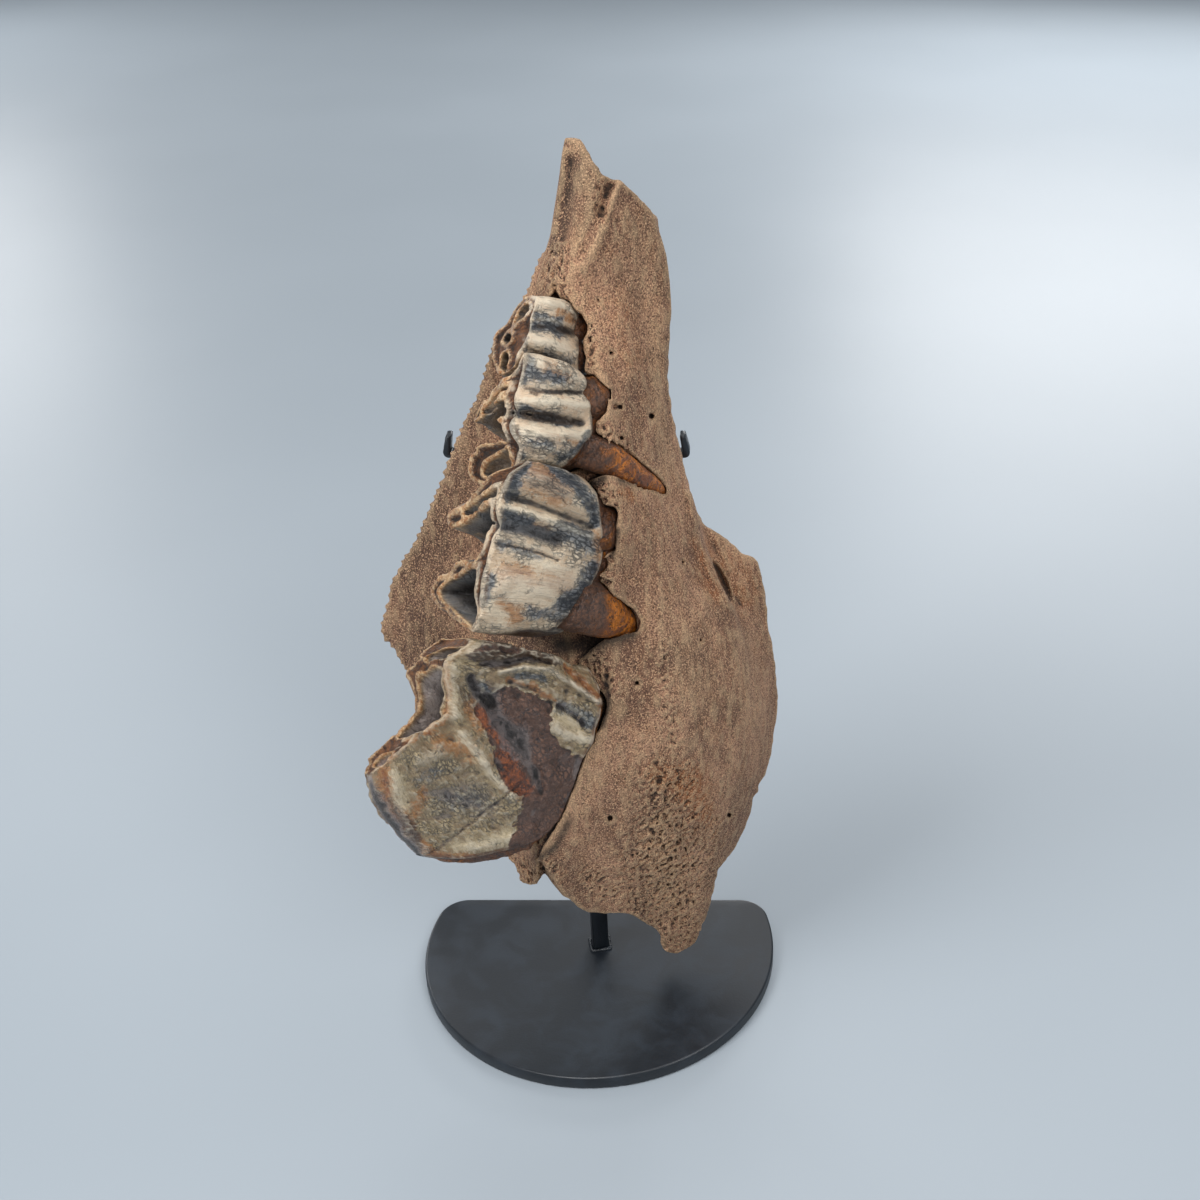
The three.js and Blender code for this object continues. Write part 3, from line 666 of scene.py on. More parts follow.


# Stains and painted shadows on the bone: (amount, half width in pixels, points)
BONE_STAINS_AND_SHADOWS = {
    "rust": [
        (0.9, 7, [(624, 492), (632, 497)]), (0.7, 22, [(690, 780), (700, 810)]), (0.5, 14, [(650, 770), (690, 790)]),
        (0.6, 14, [(700, 545), (708, 575), (716, 590)]), (0.5, 18, [(735, 560), (745, 600)]),
        (0.4, 20, [(615, 300), (625, 360)]), (0.35, 18, [(600, 250), (620, 240)]),
    ],
    # darker marks: painted shade along grooves, the slit and gaps, and broader darker patches
    "shadow_and_dark_patches": [
        (0.9, 6, [(600, 480), (588, 486)]), (0.7, 9, [(735, 600), (724, 588)]), (0.35, 30, [(700, 640), (690, 740)]),
        (0.3, 24, [(620, 760), (600, 860)]), (0.4, 16, [(660, 600), (668, 660)]), (0.4, 24, [(700, 900), (690, 940)]),
        (0.9, 46, [(450, 480), (425, 560), (425, 650)]), (0.6, 24, [(500, 330), (470, 420)]),
        (1.6, 9, [(500, 640), (540, 646), (580, 650), (596, 656)]), (1.0, 9, [(570, 160), (564, 210), (556, 250)]),
        (0.5, 14, [(584, 170), (586, 220)]),
    ],
    # painted shadow, near black, in the gaps between the roots and the bone
    "gap": [
        (1.3, 8, [(560, 646), (590, 645), (612, 638), (630, 633)]), (1.2, 4, [(590, 500), (586, 486), (604, 478)]),
        (1.0, 3, [(620, 480), (645, 484), (664, 492)]), (1.0, 3, [(612, 556), (618, 530)]),
        (1.0, 3, [(606, 676), (609, 704), (603, 726)]), (1.0, 4, [(540, 858), (556, 846), (570, 820)]),
    ],
    "tan": [
        (0.8, 10, [(655, 330), (660, 420), (668, 470)]), (0.5, 24, [(640, 230), (645, 300)]),
        (0.6, 26, [(680, 640), (700, 700)]), (0.7, 22, [(660, 830), (668, 900)]), (0.5, 5, [(565, 150), (556, 240)]),
        (0.5, 16, [(745, 640), (750, 720)]), (0.6, 6, [(612, 450), (640, 466), (660, 478)]),
    ],
}


def outer_side(spots, outer):
    """How far behind the outer face each spot lies, as a negative number of millimetres."""
    across, down = photo_place(spots)
    depth = face_depth(outer)
    return -np.abs(spots[:, 1] - read_sheet(depth, across, down))


FACE_DEPTH = {}


def face_depth(outer):
    """The depth of the outer face drawn on the sheet, from its nearest points."""
    if "sheet" not in FACE_DEPTH:
        points = outer.reshape(-1, 3)
        across, down = photo_place(points)
        total = np.zeros((len(SHEET_ACROSS), len(SHEET_DOWN)))
        count = np.zeros_like(total)
        i = np.clip((across - SHEET_ACROSS[0]).astype(int), 0, len(SHEET_ACROSS) - 1)
        j = np.clip((down - SHEET_DOWN[0]).astype(int), 0, len(SHEET_DOWN) - 1)
        np.add.at(total, (i, j), points[:, 1])
        np.add.at(count, (i, j), 1)
        for _ in range(24):
            empty = count == 0
            spread_total, spread_count = total.copy(), count.copy()
            for axis in (0, 1):
                for step in (-1, 1):
                    spread_total += np.roll(total, step, axis)
                    spread_count += np.roll(count, step, axis)
            fresh = empty & (spread_count > 0)
            total[fresh], count[fresh] = (spread_total / np.maximum(spread_count, 1))[fresh], 1
        FACE_DEPTH["sheet"] = np.where(count > 0, total / np.maximum(count, 1), -20).astype(np.float32)
    return FACE_DEPTH["sheet"]


def on_bone(outer, across, down):
    depth = read_sheet(face_depth(outer), np.array([across]), np.array([down]))[0]
    return seen([[across, down, depth]])[0]


# The slit behind the cheek-bone ridge: where it starts and ends, its half width and how deep it goes
SLIT_ENDS = [(713, 560), (735, 606)]
SLIT_HALF_WIDTH, SLIT_DEPTH = 1.8, 9.0


def slit_field(spots, outer):
    start, end = (on_bone(outer, *place) for place in SLIT_ENDS)
    middle, way = (start + end) / 2, (end - start) / np.linalg.norm(end - start)
    inwards = middle - EYE
    inwards -= way * (inwards @ way)
    inwards /= np.linalg.norm(inwards)
    side = np.cross(way, inwards)
    local = spots - middle
    half = np.linalg.norm(end - start) / 2
    shares = np.stack([(local @ way) / half, (local @ side) / SLIT_HALF_WIDTH, (local @ inwards) / SLIT_DEPTH])
    return (np.linalg.norm(shares, axis=0) - 1) * SLIT_HALF_WIDTH


def thin_mesh(piece, triangles):
    """Fewer triangles, taken first from where the surface is flattest."""
    sizes = np.zeros(len(piece.data.polygons), np.int32)
    piece.data.polygons.foreach_get("loop_total", sizes)
    count = (sizes - 2).sum()
    if count <= triangles:
        return
    modifier = piece.modifiers.new("thin", "DECIMATE")
    modifier.ratio = triangles / count
    make_plain(piece)


def make_plain(piece):
    """The evaluated mesh in place of the mesh and its modifiers."""
    bpy.context.view_layer.update()
    evaluated = piece.evaluated_get(bpy.context.evaluated_depsgraph_get())
    plain = bpy.data.meshes.new_from_object(evaluated)
    piece.modifiers.clear()
    piece.data = plain


# The teeth. Each crown hangs between its biting edge and its neck, both read from front to back along the cheek
# side, and reaches tongue_width towards the tongue. top is the outline of its biting face on the tongue side, from
# back to front, and pits are the valleys and pockets in it: (depth, closed outline), all as [share of the length,
# millimetres to the tongue]. forms are ribs and grooves of the cheek wall, and the colours are marks too: rust, crust
# and stain, with painted highlight in the pale marks along the ribs, and painted shade with the stain in the blue and
# brown marks that follow the grooves and margins.
CROWN_OUTLINE = [[0.0, 1.5], [0.06, -0.2], [0.2, -0.4], [0.4, 0.2], [0.6, 0.2], [0.8, -0.2], [0.92, 0.2], [0.99, 1.6]]
CROWN_BULGE = 2.2
TEETH = [
    {
        "name": "premolar_4",
        "slot": "worn_enamel",
        "edge": [[537, 294, -28], [529, 320, -37], [525, 345, -44]],
        "neck": [[576, 311, -16], [580, 340, -22], [580, 372, -28]],
        "tongue": [-0.56, 0.52, -0.6],
        "tongue_width": [24, 24],
        "top": [
            [1.15, 3], [1.34, 6.5], [1.24, 13], [1.0, 18.5], [0.6, 22], [0.25, 24], [0.1, 22], [0.08, 17.5],
            [0.0, 16], [-0.16, 14], [-0.2, 10], [-0.12, 5],
        ],
        "pits": [
            (5, [[0.03, 5], [-0.02, 9.5], [0.08, 12], [0.27, 11.2], [0.37, 8.2], [0.3, 5.5], [0.18, 3.4]]),
            (7, [[0.45, 11.3], [0.34, 16], [0.4, 17.3], [0.54, 15], [0.65, 10.8], [0.61, 8.9]]),
            (7, [[0.86, 11.4], [0.81, 15.3], [0.94, 16], [1.12, 13.6], [1.19, 10.3], [1.08, 9.3]]),
        ],
        "wear": 1.6,
        "trunk": 9,
        "forms": [
            (1.1, 6, [(537, 300), (562, 303), (580, 316)]), (-1.3, 6, [(526, 327), (548, 327), (574, 333)]),
            (1.0, 6, [(526, 340), (578, 351)]), (-0.7, 4, [(525, 351), (575, 366)]),
            (-0.4, 3, [(536, 312), (572, 321)]),
        ],
        "lobes": [
            ([[562, 320, -17], [575, 328, -17], [584, 331, -15]], 10),
            ([[562, 350, -22], [574, 357, -22], [583, 360, -19]], 9),
        ],
        "stains_and_painted_light": {
            "blue": [
                (1.3, 5, [(529, 327), (548, 325), (562, 330)]), (0.7, 3, [(533, 314), (560, 320)]),
                (0.5, 6, [(545, 352), (570, 362)]), (0.5, 4, [(526, 340), (524, 350)]),
            ],
            "brown": [(0.7, 4, [(574, 314), (578, 330), (578, 350)]), (0.6, 3, [(524, 345), (560, 362)])],
            "rust": [(0.5, 6, [(560, 312), (575, 322)])],
            "pale": [(1.0, 6, [(540, 299), (562, 304)]), (0.9, 5, [(530, 338), (565, 346)])],
        },
    },
    {
        "name": "molar_1",
        "slot": "worn_enamel",
        "edge": [[525, 350, -45], [517, 385, -50], [512, 425, -56], [523, 455, -60]],
        "neck": [[582, 373, -31], [592, 405, -36], [590, 440, -40], [566, 466, -46]],
        "tongue": [-0.62, 0.6, -0.55],
        "tongue_width": [28, 30],
        "top": [
            [1.05, 3], [1.12, 7], [1.16, 12.9], [1.155, 19.7], [1.08, 26], [0.98, 28], [0.85, 26], [0.75, 23],
            [0.68, 20], [0.6, 20], [0.54, 20.5], [0.46, 22.6], [0.385, 22.2], [0.31, 16.8], [0.227, 11.2], [0.2, 6],
            [0.12, 3],
        ],
        "pits": [
            (18, [[0.42, 5], [0.53, 4.4], [0.55, 5.8], [0.575, 7], [0.63, 5.4], [0.74, 4.4], [0.77, 7.4], [0.74, 11.4],
                  [0.7, 16], [0.7, 24], [0.62, 40], [0.45, 40], [0.5, 24], [0.47, 18.5], [0.43, 14.3], [0.4, 9.2]]),
            (5, [[0.87, 6], [0.889, 11.2], [0.93, 18.1], [1.01, 22], [1.06, 20.5], [1.09, 14.6], [1.06, 9.2],
                 [0.97, 6.4]]),
            (3, [[0.285, 4.8], [0.29, 8.9], [0.345, 14.2], [0.41, 18.6], [0.44, 17.2], [0.39, 12.6], [0.345, 7.9],
                 [0.325, 4.6]]),
        ],
        "wear": 1.9,
        "trunk": 9,
        "forms": [
            (1.2, 8, [(532, 362), (560, 368), (584, 380)]), (-0.9, 4, [(520, 388), (550, 392), (584, 393)]),
            (1.3, 6, [(518, 399), (550, 402), (592, 406)]),
            (-2.0, 7, [(512, 412), (532, 416), (560, 421), (578, 424)]),
            (1.5, 8, [(516, 430), (545, 433), (592, 435)]), (-0.9, 5, [(520, 450), (545, 455), (568, 460)]),
        ],
        "lobes": [([[566, 394, -32], [588, 400, -32], [606, 402, -28]], 14)],
        "bare_roots": [([[578, 448, -40], [606, 458, -37], [636, 475, -30], [666, 493, -20]], 11)],
        "stains_and_painted_light": {
            "blue": [
                (1.5, 5, [(516, 409), (532, 413), (552, 419)]), (0.7, 4, [(552, 420), (572, 424)]),
                (0.8, 4, [(512, 420), (514, 440), (520, 455)]), (0.7, 6, [(528, 360), (522, 376)]),
                (0.6, 6, [(535, 372), (560, 378)]), (0.8, 5, [(560, 458), (580, 448), (590, 436)]),
                (0.5, 6, [(530, 442), (550, 448)]),
            ],
            "brown": [
                (0.9, 3.5, [(530, 390), (580, 392)]), (0.6, 5, [(548, 372), (578, 382)]),
                (0.6, 4, [(570, 462), (588, 444)]), (0.5, 4, [(516, 386), (512, 404)]),
            ],
            "rust": [
                (0.6, 6, [(548, 368), (566, 374)]), (0.5, 7, [(548, 432), (575, 438)]),
                (0.4, 5, [(560, 402), (580, 404)]),
            ],
            "pale": [
                (1.0, 5, [(548, 398), (588, 404)]), (1.1, 7, [(524, 428), (584, 434)]),
                (0.7, 5, [(530, 358), (548, 362)]), (0.6, 4, [(526, 400), (545, 402)]),
            ],
        },
    },
    {
        "name": "molar_2",
        "slot": "enamel",
        "edge": [[530, 460, -62], [505, 478, -64], [496, 530, -68], [482, 590, -72], [479, 630, -74]],
        "neck": [[586, 478, -44], [604, 516, -44], [602, 560, -46], [586, 600, -49], [564, 636, -54]],
        "tongue": [-0.68, 0.64, -0.42],
        "tongue_width": [34, 32],
        "top": [
            [1.02, 3], [1.0, 6], [0.95, 11.3], [0.876, 18.7], [0.81, 24.5], [0.74, 28], [0.69, 26.9], [0.665, 23.1],
            [0.63, 18], [0.57, 17.5], [0.5, 19], [0.475, 21], [0.46, 24.5], [0.42, 27.7], [0.39, 25.1], [0.368, 18.2],
            [0.3, 12.5], [0.217, 8.3], [0.1, 6], [0.02, 4],
        ],
        "pits": [
            (26, [[0.385, 3.4], [0.42, 4.2], [0.466, 5.0], [0.55, 4.6], [0.59, 6.4], [0.614, 10.6], [0.61, 15.5],
                  [0.62, 22], [0.63, 44], [0.47, 44], [0.47, 24], [0.455, 18.8], [0.43, 14], [0.4, 8.1]]),
            (15, [[0.65, 4.6], [0.663, 10.2], [0.685, 16], [0.71, 20.8], [0.745, 22.6], [0.805, 19], [0.866, 13.2],
                  [0.93, 7.2], [0.96, 3.6], [0.88, 2.6], [0.79, 3.6], [0.71, 4]]),
            (5, [[0.29, 2.4], [0.326, 6.9], [0.365, 13.5], [0.395, 18.6], [0.41, 17.3], [0.385, 11.2], [0.35, 4.9],
                 [0.33, 2.2]]),
        ],
        "fall": 1.5,
        "wear": 1.3,
        "trunk": 9,
        "forms": [
            (1.8, 14, [(524, 476), (550, 486), (590, 500)]),
            (-1.2, 5, [(506, 497), (530, 502), (560, 514), (590, 527)]),
            (1.4, 5, [(504, 507), (530, 514), (560, 524), (590, 537)]),
            (-2.0, 10, [(500, 524), (525, 529), (556, 540)]),
            (-0.7, 2.4, [(494, 543), (520, 548), (540, 553), (557, 560)]),
            (2.0, 22, [(500, 582), (545, 588), (572, 585)]),
            (-1.2, 8, [(520, 634), (548, 636), (572, 632)]), (0.8, 6, [(484, 600), (490, 622)]),
            (0.6, 8, [(548, 566), (580, 572)]),
        ],
        "lobes": [([[574, 524, -40], [597, 529, -40], [616, 532, -35]], 16)],
        "bare_roots": [([[566, 600, -50], [592, 610, -46], [616, 620, -41], [637, 628, -35]], 18)],
        "stains_and_painted_light": {
            "blue": [
                (1.3, 7, [(524, 462), (512, 480), (510, 494)]),
                (1.1, 6, [(552, 466), (578, 486), (592, 506), (596, 520)]),
                (0.9, 5, [(504, 512), (516, 518), (530, 522)]), (0.6, 8, [(556, 536), (590, 546)]),
                (1.2, 9, [(566, 604), (584, 592), (594, 572)]), (0.7, 6, [(476, 568), (490, 580), (484, 600)]),
                (0.6, 5, [(560, 524), (590, 536)]), (0.5, 5, [(500, 545), (540, 556)]),
                (0.5, 6, [(530, 612), (556, 616)]),
            ],
            "brown": [
                (1.3, 7, [(502, 524), (524, 527), (546, 534)]), (1.3, 7, [(524, 636), (548, 638), (574, 632)]),
                (0.5, 8, [(544, 486), (560, 498)]), (0.8, 5, [(556, 620), (584, 612), (598, 594)]),
                (0.5, 6, [(505, 600), (525, 610)]),
            ],
            "rust": [
                (1.4, 13, [(530, 474), (546, 482), (560, 490)]), (1.4, 10, [(506, 574), (524, 578)]),
                (1.0, 13, [(536, 592), (560, 582)]),
                (0.7, 8, [(500, 604), (516, 616)]), (0.6, 6, [(520, 520), (536, 528)]),
                (0.6, 5, [(596, 530), (600, 560), (588, 592)]),
            ],
            "pale": [
                (1.2, 12, [(520, 590), (550, 600)]), (1.0, 4, [(508, 507), (530, 512), (560, 522)]),
                (1.1, 8, [(486, 596), (500, 616)]), (0.9, 8, [(530, 560), (560, 572)]),
            ],
        },
    },
    {
        "name": "molar_3",
        "slot": "unworn_enamel",
        "edge": [[474, 640, -75], [448, 660, -79], [447, 712, -78], [414, 738, -80], [384, 766, -78]],
        "neck": [[590, 668, -50], [606, 712, -51], [580, 782, -55], [540, 842, -57], [484, 861, -60], [432, 857, -66]],
        "tongue": [-0.68, 0.55, -0.4],
        "tongue_width": [34, 13],
        "top": [
            [1.04, 2], [1.1, 4], [1.08, 7], [1.03, 8], [0.95, 11], [0.88, 13.8], [0.83, 14], [0.77, 13.5], [0.7, 14],
            [0.62, 16.5], [0.51, 19], [0.43, 18.5], [0.36, 19.4], [0.32, 22], [0.28, 20.5], [0.25, 17.5], [0.2, 17],
            [0.105, 21.6], [0.0, 20.7], [-0.04, 13.7], [-0.05, 6.2],
        ],
        "pits": [
            (7, [[0.09, 1.6], [0.106, 6.7], [0.15, 12], [0.2, 13.5], [0.24, 11.5], [0.225, 6], [0.19, 1.6],
                 [0.13, 1.3]]),
            (9, [[0.31, 2], [0.39, 3.2], [0.49, 2.8], [0.59, 2.2], [0.69, 2.2], [0.745, 5], [0.735, 9], [0.69, 11.5],
                 [0.62, 13.5], [0.52, 16], [0.42, 15.5], [0.35, 15], [0.31, 11], [0.29, 6.5]]),
            (5, [[0.864, 4], [0.91, 7.1], [0.984, 6.2], [1.0, 3.4], [0.955, 2]]),
        ],
        "fall": 1.5,
        "wear": 0.7,
        "trunk": 1.5,
        "bow": 2.5,
        "collar": 4.5,
        "rough": 0.55,
        "forms": [
            (2.0, 8, [(470, 650), (500, 642), (530, 646), (556, 660)]),
            (-1.6, 4, [(482, 664), (504, 664), (528, 658), (548, 662)]),
            (2.2, 3.5, [(501, 672), (524, 667), (548, 669), (572, 683), (598, 702)]),
            (-1.2, 4, [(510, 682), (535, 691), (556, 705), (582, 722)]),
            (1.6, 7, [(452, 668), (451, 690), (454, 716)]), (-2.2, 6, [(470, 678), (478, 695), (490, 702)]),
            (-1.6, 8, [(486, 700), (502, 722), (520, 738)]),
            (1.6, 8, [(530, 700), (545, 720), (566, 735), (590, 740)]),
            (1.2, 9, [(540, 760), (556, 780), (545, 800)]), (-1.2, 5, [(520, 745), (535, 770), (540, 790)]),
            (-1.1, 20, [(440, 800), (478, 798)]), (1.6, 7, [(462, 735), (478, 752), (492, 775), (512, 796)]),
            (1.4, 7, [(394, 775), (398, 805), (408, 835), (425, 852)]), (1.4, 9, [(440, 752), (420, 762)]),
            (-0.5, 1.3, [(425, 857), (455, 836), (480, 815), (500, 800), (520, 784)]),
            (1.4, 8, [(470, 848), (510, 842), (530, 832)]),
        ],
        "lobes": [],
        "stains_and_painted_light": {
            "blue": [
                (0.3, 12, [(446, 802), (476, 798)]), (0.3, 8, [(420, 780), (440, 770)]),
                (0.6, 7, [(562, 706), (592, 722)]),
                (1.0, 5, [(478, 690), (496, 697)]), (0.5, 5, [(515, 674), (545, 678)]),
            ],
            "brown": [
                (1.2, 3, [(462, 655), (478, 645), (495, 634), (524, 637), (553, 653), (566, 668), (548, 664),
                          (524, 664), (501, 670), (480, 664), (462, 655)]),
                (0.6, 8, [(455, 680), (466, 700)]), (0.7, 6, [(408, 820), (416, 842)]),
                (0.5, 8, [(430, 775), (460, 765)]),
                (0.6, 5, [(500, 818), (520, 812)]),
                (0.9, 1.1, [(425, 857), (455, 836), (480, 815), (500, 800), (520, 784)]),
                (0.8, 10, [(478, 684), (500, 692)]), (0.7, 8, [(392, 800), (400, 826), (418, 850)]),
            ],
            "rust": [
                (1.0, 7, [(382, 770), (388, 800), (400, 832), (420, 856)]), (0.9, 10, [(474, 706), (486, 722)]),
                (1.3, 7, [(492, 714), (500, 738)]), (1.5, 9, [(504, 752), (514, 776), (524, 790)]),
                (1.3, 4, [(566, 668), (584, 682), (602, 702)]),
                (1.0, 5, [(404, 815), (414, 842), (440, 858), (480, 861), (505, 855)]),
                (1.0, 2.2, [(446, 662), (448, 700), (444, 722), (404, 743), (386, 760)]),
                (0.9, 2.5, [(508, 680), (530, 686), (556, 702), (580, 720)]), (0.5, 10, [(440, 740), (470, 752)]),
                (0.5, 6, [(424, 790), (416, 812)]),
            ],
            "pale": [
                (0.7, 6, [(455, 664), (453, 690), (458, 716)]), (0.9, 10, [(396, 776), (402, 806)]),
                (0.9, 9, [(460, 848), (515, 836)]), (0.9, 9, [(560, 716), (584, 738)]),
                (0.7, 8, [(462, 738), (484, 764), (500, 786)]),
                (0.7, 4, [(512, 669), (548, 672)]),
            ],
            "violet": [
                (1.0, 1.5, [(474, 707), (480, 721), (489, 742), (495, 759), (501, 776), (510, 788), (527, 797),
                            (521, 808), (515, 829), (507, 849), (524, 866), (570, 846), (600, 800), (606, 762),
                            (579, 757), (559, 745), (550, 730), (553, 707), (538, 695), (518, 690), (504, 687),
                            (489, 695), (474, 707)]),
                (0.6, 6, [(480, 648), (520, 650)]),
            ],
        },
    },
]
ENAMEL = 1.3
TOOTH_MARGIN = 5.0


def crown_outline(tooth, level):
    """The crown's outline at a level, biting edge 0 to neck 1: [share of the length, millimetres to the tongue]."""
    front, back = tooth["tongue_width"]
    top = np.array(tooth["top"])
    neck = np.array([
        [1.0, back * 0.3], [1.0, back * 0.6], [0.95, back * 0.84], [0.87, back * 0.98],
        [0.76, back], [0.67, back * 0.97], [0.59, (front + back) * 0.46], [0.52, (front + back) * 0.44],
        [0.45, (front + back) * 0.46], [0.38, front * 0.97], [0.28, front], [0.17, front * 0.98],
        [0.07, front * 0.84], [0.0, front * 0.6], [0.0, front * 0.3],
    ])
    shares = np.linspace(0, 1, 24)
    ring = along_curve(top, shares) * (1 - level**0.7) + along_curve(neck, shares) * level**0.7
    return np.vstack([CROWN_OUTLINE, ring])


def tooth_frame(tooth):
    """The tooth's own lengths, and the function from its (along, tongue, level) millimetres to the row frame."""
    edge, neck = seen(tooth["edge"]), seen(tooth["neck"])
    tongue = np.array(tooth["tongue"])
    shares = np.linspace(0, 1, 60)
    edge_line, neck_line = along_curve(edge, shares), along_curve(neck, shares)
    length = np.linalg.norm(np.diff(edge_line, axis=0), axis=1).sum()
    length = (length + np.linalg.norm(np.diff(neck_line, axis=0), axis=1).sum()) / 2
    height = np.linalg.norm(neck_line - edge_line, axis=1).mean()

    def on(line, share):
        kept = np.clip(share, 0, 1)
        here = along_curve(line, kept)
        step = 0.01
        way = along_curve(line, np.minimum(kept + step, 1)) - along_curve(line, np.maximum(kept - step, 0))
        reach = np.minimum(kept + step, 1) - np.maximum(kept - step, 0)
        return here + way * ((share - kept) / reach)[:, None]

    def place(local):
        share, level = local[:, 0] / length, local[:, 2] / height
        out = local[:, 1]
        low, high = on(edge, share), on(neck, share)
        arch = np.sin(np.pi * np.clip(level, 0, 1))
        bulge = CROWN_BULGE * arch * np.clip(2 * out / tooth["tongue_width"][1] - 1, -1, 1)
        world = low + (high - low) * level[:, None] + tongue * (out + bulge)[:, None]
        world[:, 0] -= tooth.get("bow", 0) * arch * smooth(0.5, 1, share)
        return world

    return length, height, place


def soft_max(a, b, blend):
    share = np.clip(0.5 + 0.5 * (a - b) / blend, 0, 1)
    return b + (a - b) * share + blend * share * (1 - share)


def crown_body(tooth, voxel):
    """The crown with its neck and root trunk: local points, triangles, quads, and masks at each point."""
    length, height, place = tooth_frame(tooth)
    reach = max(tooth["tongue_width"])
    low = np.array([-TOOTH_MARGIN, -TOOTH_MARGIN, -4.0])
    high = np.array([length + TOOTH_MARGIN, reach + TOOTH_MARGIN, height + tooth["trunk"] + 2])
    axes = [np.arange(a, b, voxel) for a, b in zip(low, high)]
    x, y = np.meshgrid(axes[0], axes[1], indexing="ij")
    flat = np.column_stack([x.ravel(), y.ravel()])

    # the outline at a few levels, and between them in proportion
    keys = np.linspace(0, 1, 5)
    rings = []
    for level in keys:
        ring = crown_outline(tooth, level) * [length, 1]
        closed = np.vstack([ring[-1:], ring, ring[:2]])
        fine = along_curve(closed, np.linspace(1, len(closed) - 2, 110)[:-1] / (len(closed) - 1))
        rings.append(outline_field(fine, flat).reshape(x.shape))
    rings = np.array(rings)
    levels = np.clip(axes[2] / height, 0, 1) * (len(keys) - 1)
    first = np.minimum(levels.astype(int), len(keys) - 2)
    share = levels - first
    field = np.stack([rings[i] * (1 - s) + rings[i + 1] * s for i, s in zip(first, share)], -1)

    # pockets and the valley, each narrower the deeper it goes
    z = axes[2][None, None, :]
    flat_top = rings[0].copy()
    wander = 0.35 * grain(flat, 4.0, 7, 2).reshape(x.shape)
    for depth, outline in tooth["pits"]:
        outline = np.array(outline)
        closed = along_curve(np.vstack([outline, outline[:1]]), np.linspace(0, 1, 60)[:-1]) * [length, 1]
        inside = wander - outline_field(closed, flat).reshape(x.shape)
        sunk = 1 - np.sqrt(np.clip(1 - (np.clip(z, 0, None) / depth) ** 2, 0, 1))
        field = soft_max(field, inside[:, :, None] - (inside.max() + 1) * sunk - np.clip(z - depth, 0, None), 0.7)
        flat_top = np.maximum(flat_top, inside)

    # worn biting face: enamel stands proud along every edge, dentine is scooped out between, and all falls away
    # towards the tongue
    basin = tooth["wear"] * smooth(ENAMEL * 0.6, ENAMEL + 1.1, -flat_top)
    fall = tooth.get("fall", 0) * np.clip(y / max(tooth["tongue_width"]), 0, 1) ** 1.5
    top = basin + fall + 0.6 * grain(flat, 7.0, 17, 2).reshape(x.shape)
    field = soft_max(field, top[:, :, None] - z, 0.5)

    # neck and root trunk
    trunk = tooth["trunk"]
    neck = height * (0.98 + 0.03 * np.cos(2 * np.pi * 2 * x / length))[:, :, None]
    field = field + (0.9 if trunk > 5 else 3.0) * smooth(-0.5, 0.5, z - neck) + 0.22 * np.clip(z - height, 0, None)
    field = soft_max(field, z - (height + trunk), 1.5)

    # the drawn ribs and grooves, long waves and fine relief, near the surface only
    near = np.abs(field) < 3.0
    spots = np.argwhere(near) * voxel + low
    world = place(spots)
    across, down = photo_place(world)
    cheek = smooth(9.0, 3.0, spots[:, 1]) * smooth(height + 3, height - 2, spots[:, 2])
    cheek *= 0.4 + 0.6 * smooth(0, 6, spots[:, 2])
    forms = read_sheet(sheet_strokes(tooth["forms"]), across, down) * cheek
    relief = 0.3 * grain(spots, (2.8, 2.8, 8.0), 27, 3) + 0.4 * grain(spots, 9.0, 37, 2) - forms
    relief += tooth.get("rough", 0) * grain(spots, 3.6, 67, 3)
    if "violet" in tooth["stains_and_painted_light"]:
        drift = [3.0 * grain(world, 3.5, seed, 3) for seed in (311, 312)]
        crust = read_sheet(sheet_strokes(tooth["stains_and_painted_light"]["violet"]), across + drift[0], down + drift[1])
        crust = smooth(0.3, 0.6, crust)
        relief += (0.7 - 0.3 * np.abs(grain(spots, 5.0, 57, 2))) * crust * cheek
    field[near] += relief
    points, triangles, quads = body_mesh(field, voxel, low)

    def top_read(sheet):
        i = np.clip(((points[:, 0] - low[0]) / voxel).round().astype(int), 0, len(axes[0]) - 1)
        j = np.clip(((points[:, 1] - low[1]) / voxel).round().astype(int), 0, len(axes[1]) - 1)
        return sheet[i, j]

    inside, roof = -top_read(flat_top), top_read(top)
    outline = -top_read(rings[0])
    on_top = smooth(1.6, 0.4, points[:, 2] - roof)
    neck_line = height * (0.98 + 0.03 * np.cos(2 * np.pi * 2 * points[:, 0] / length))
    drawn = read_sheet(sheet_strokes(tooth["forms"]), *photo_place(place(points)))
    masks = {
        "root": smooth(-0.3, 0.5, points[:, 2] - neck_line),
        "dentine": on_top * smooth(ENAMEL - 0.35, ENAMEL + 0.25, inside),
        "ridge": on_top * smooth(ENAMEL + 0.1, ENAMEL - 0.3, inside),
        "pocket": smooth(0.6, 1.8, outline) * smooth(0.8, 3.0, points[:, 2] - roof),
        # deep: the pockets' depths, which the material paints with shade
        "deep": smooth(0.6, 2.5, outline) * smooth(2.5, 9.0, points[:, 2] - roof),
        "fire": np.full(len(points), TRUNK_FIRE),
        "collar": smooth(-tooth.get("collar", 2.2), -0.2, points[:, 2] - neck_line),
        # rise: the drawn ribs and grooves, which the material paints with highlight and shade
        "rise": 0.5 + 0.25 * smooth(9.0, 3.0, points[:, 1]) * drawn,
        "cheek": smooth(6.0, 2.5, points[:, 1]),
    }
    return points, triangles, quads, masks, place


# Roots, as tubes: rings and points round each, how much thinner they are one way, and their width down their length
ROOT_RINGS, ROOT_SIDES, ROOT_FLATNESS = 34, 36, 0.8
ROOT_TAPER_AT = [0, 0.25, 0.5, 0.75, 0.93, 1]
ROOT_TAPER = [1, 0.94, 0.78, 0.55, 0.3, 0.1]
LOBE_TAPER = [0.5, 0.86, 1, 0.84, 0.5, 0.15]
# How burnt orange a lobe, a bare root's tip and the root trunk under a crown are
LOBE_FIRE, ROOT_FIRE, TRUNK_FIRE = 0.15, 1.0, 0.2


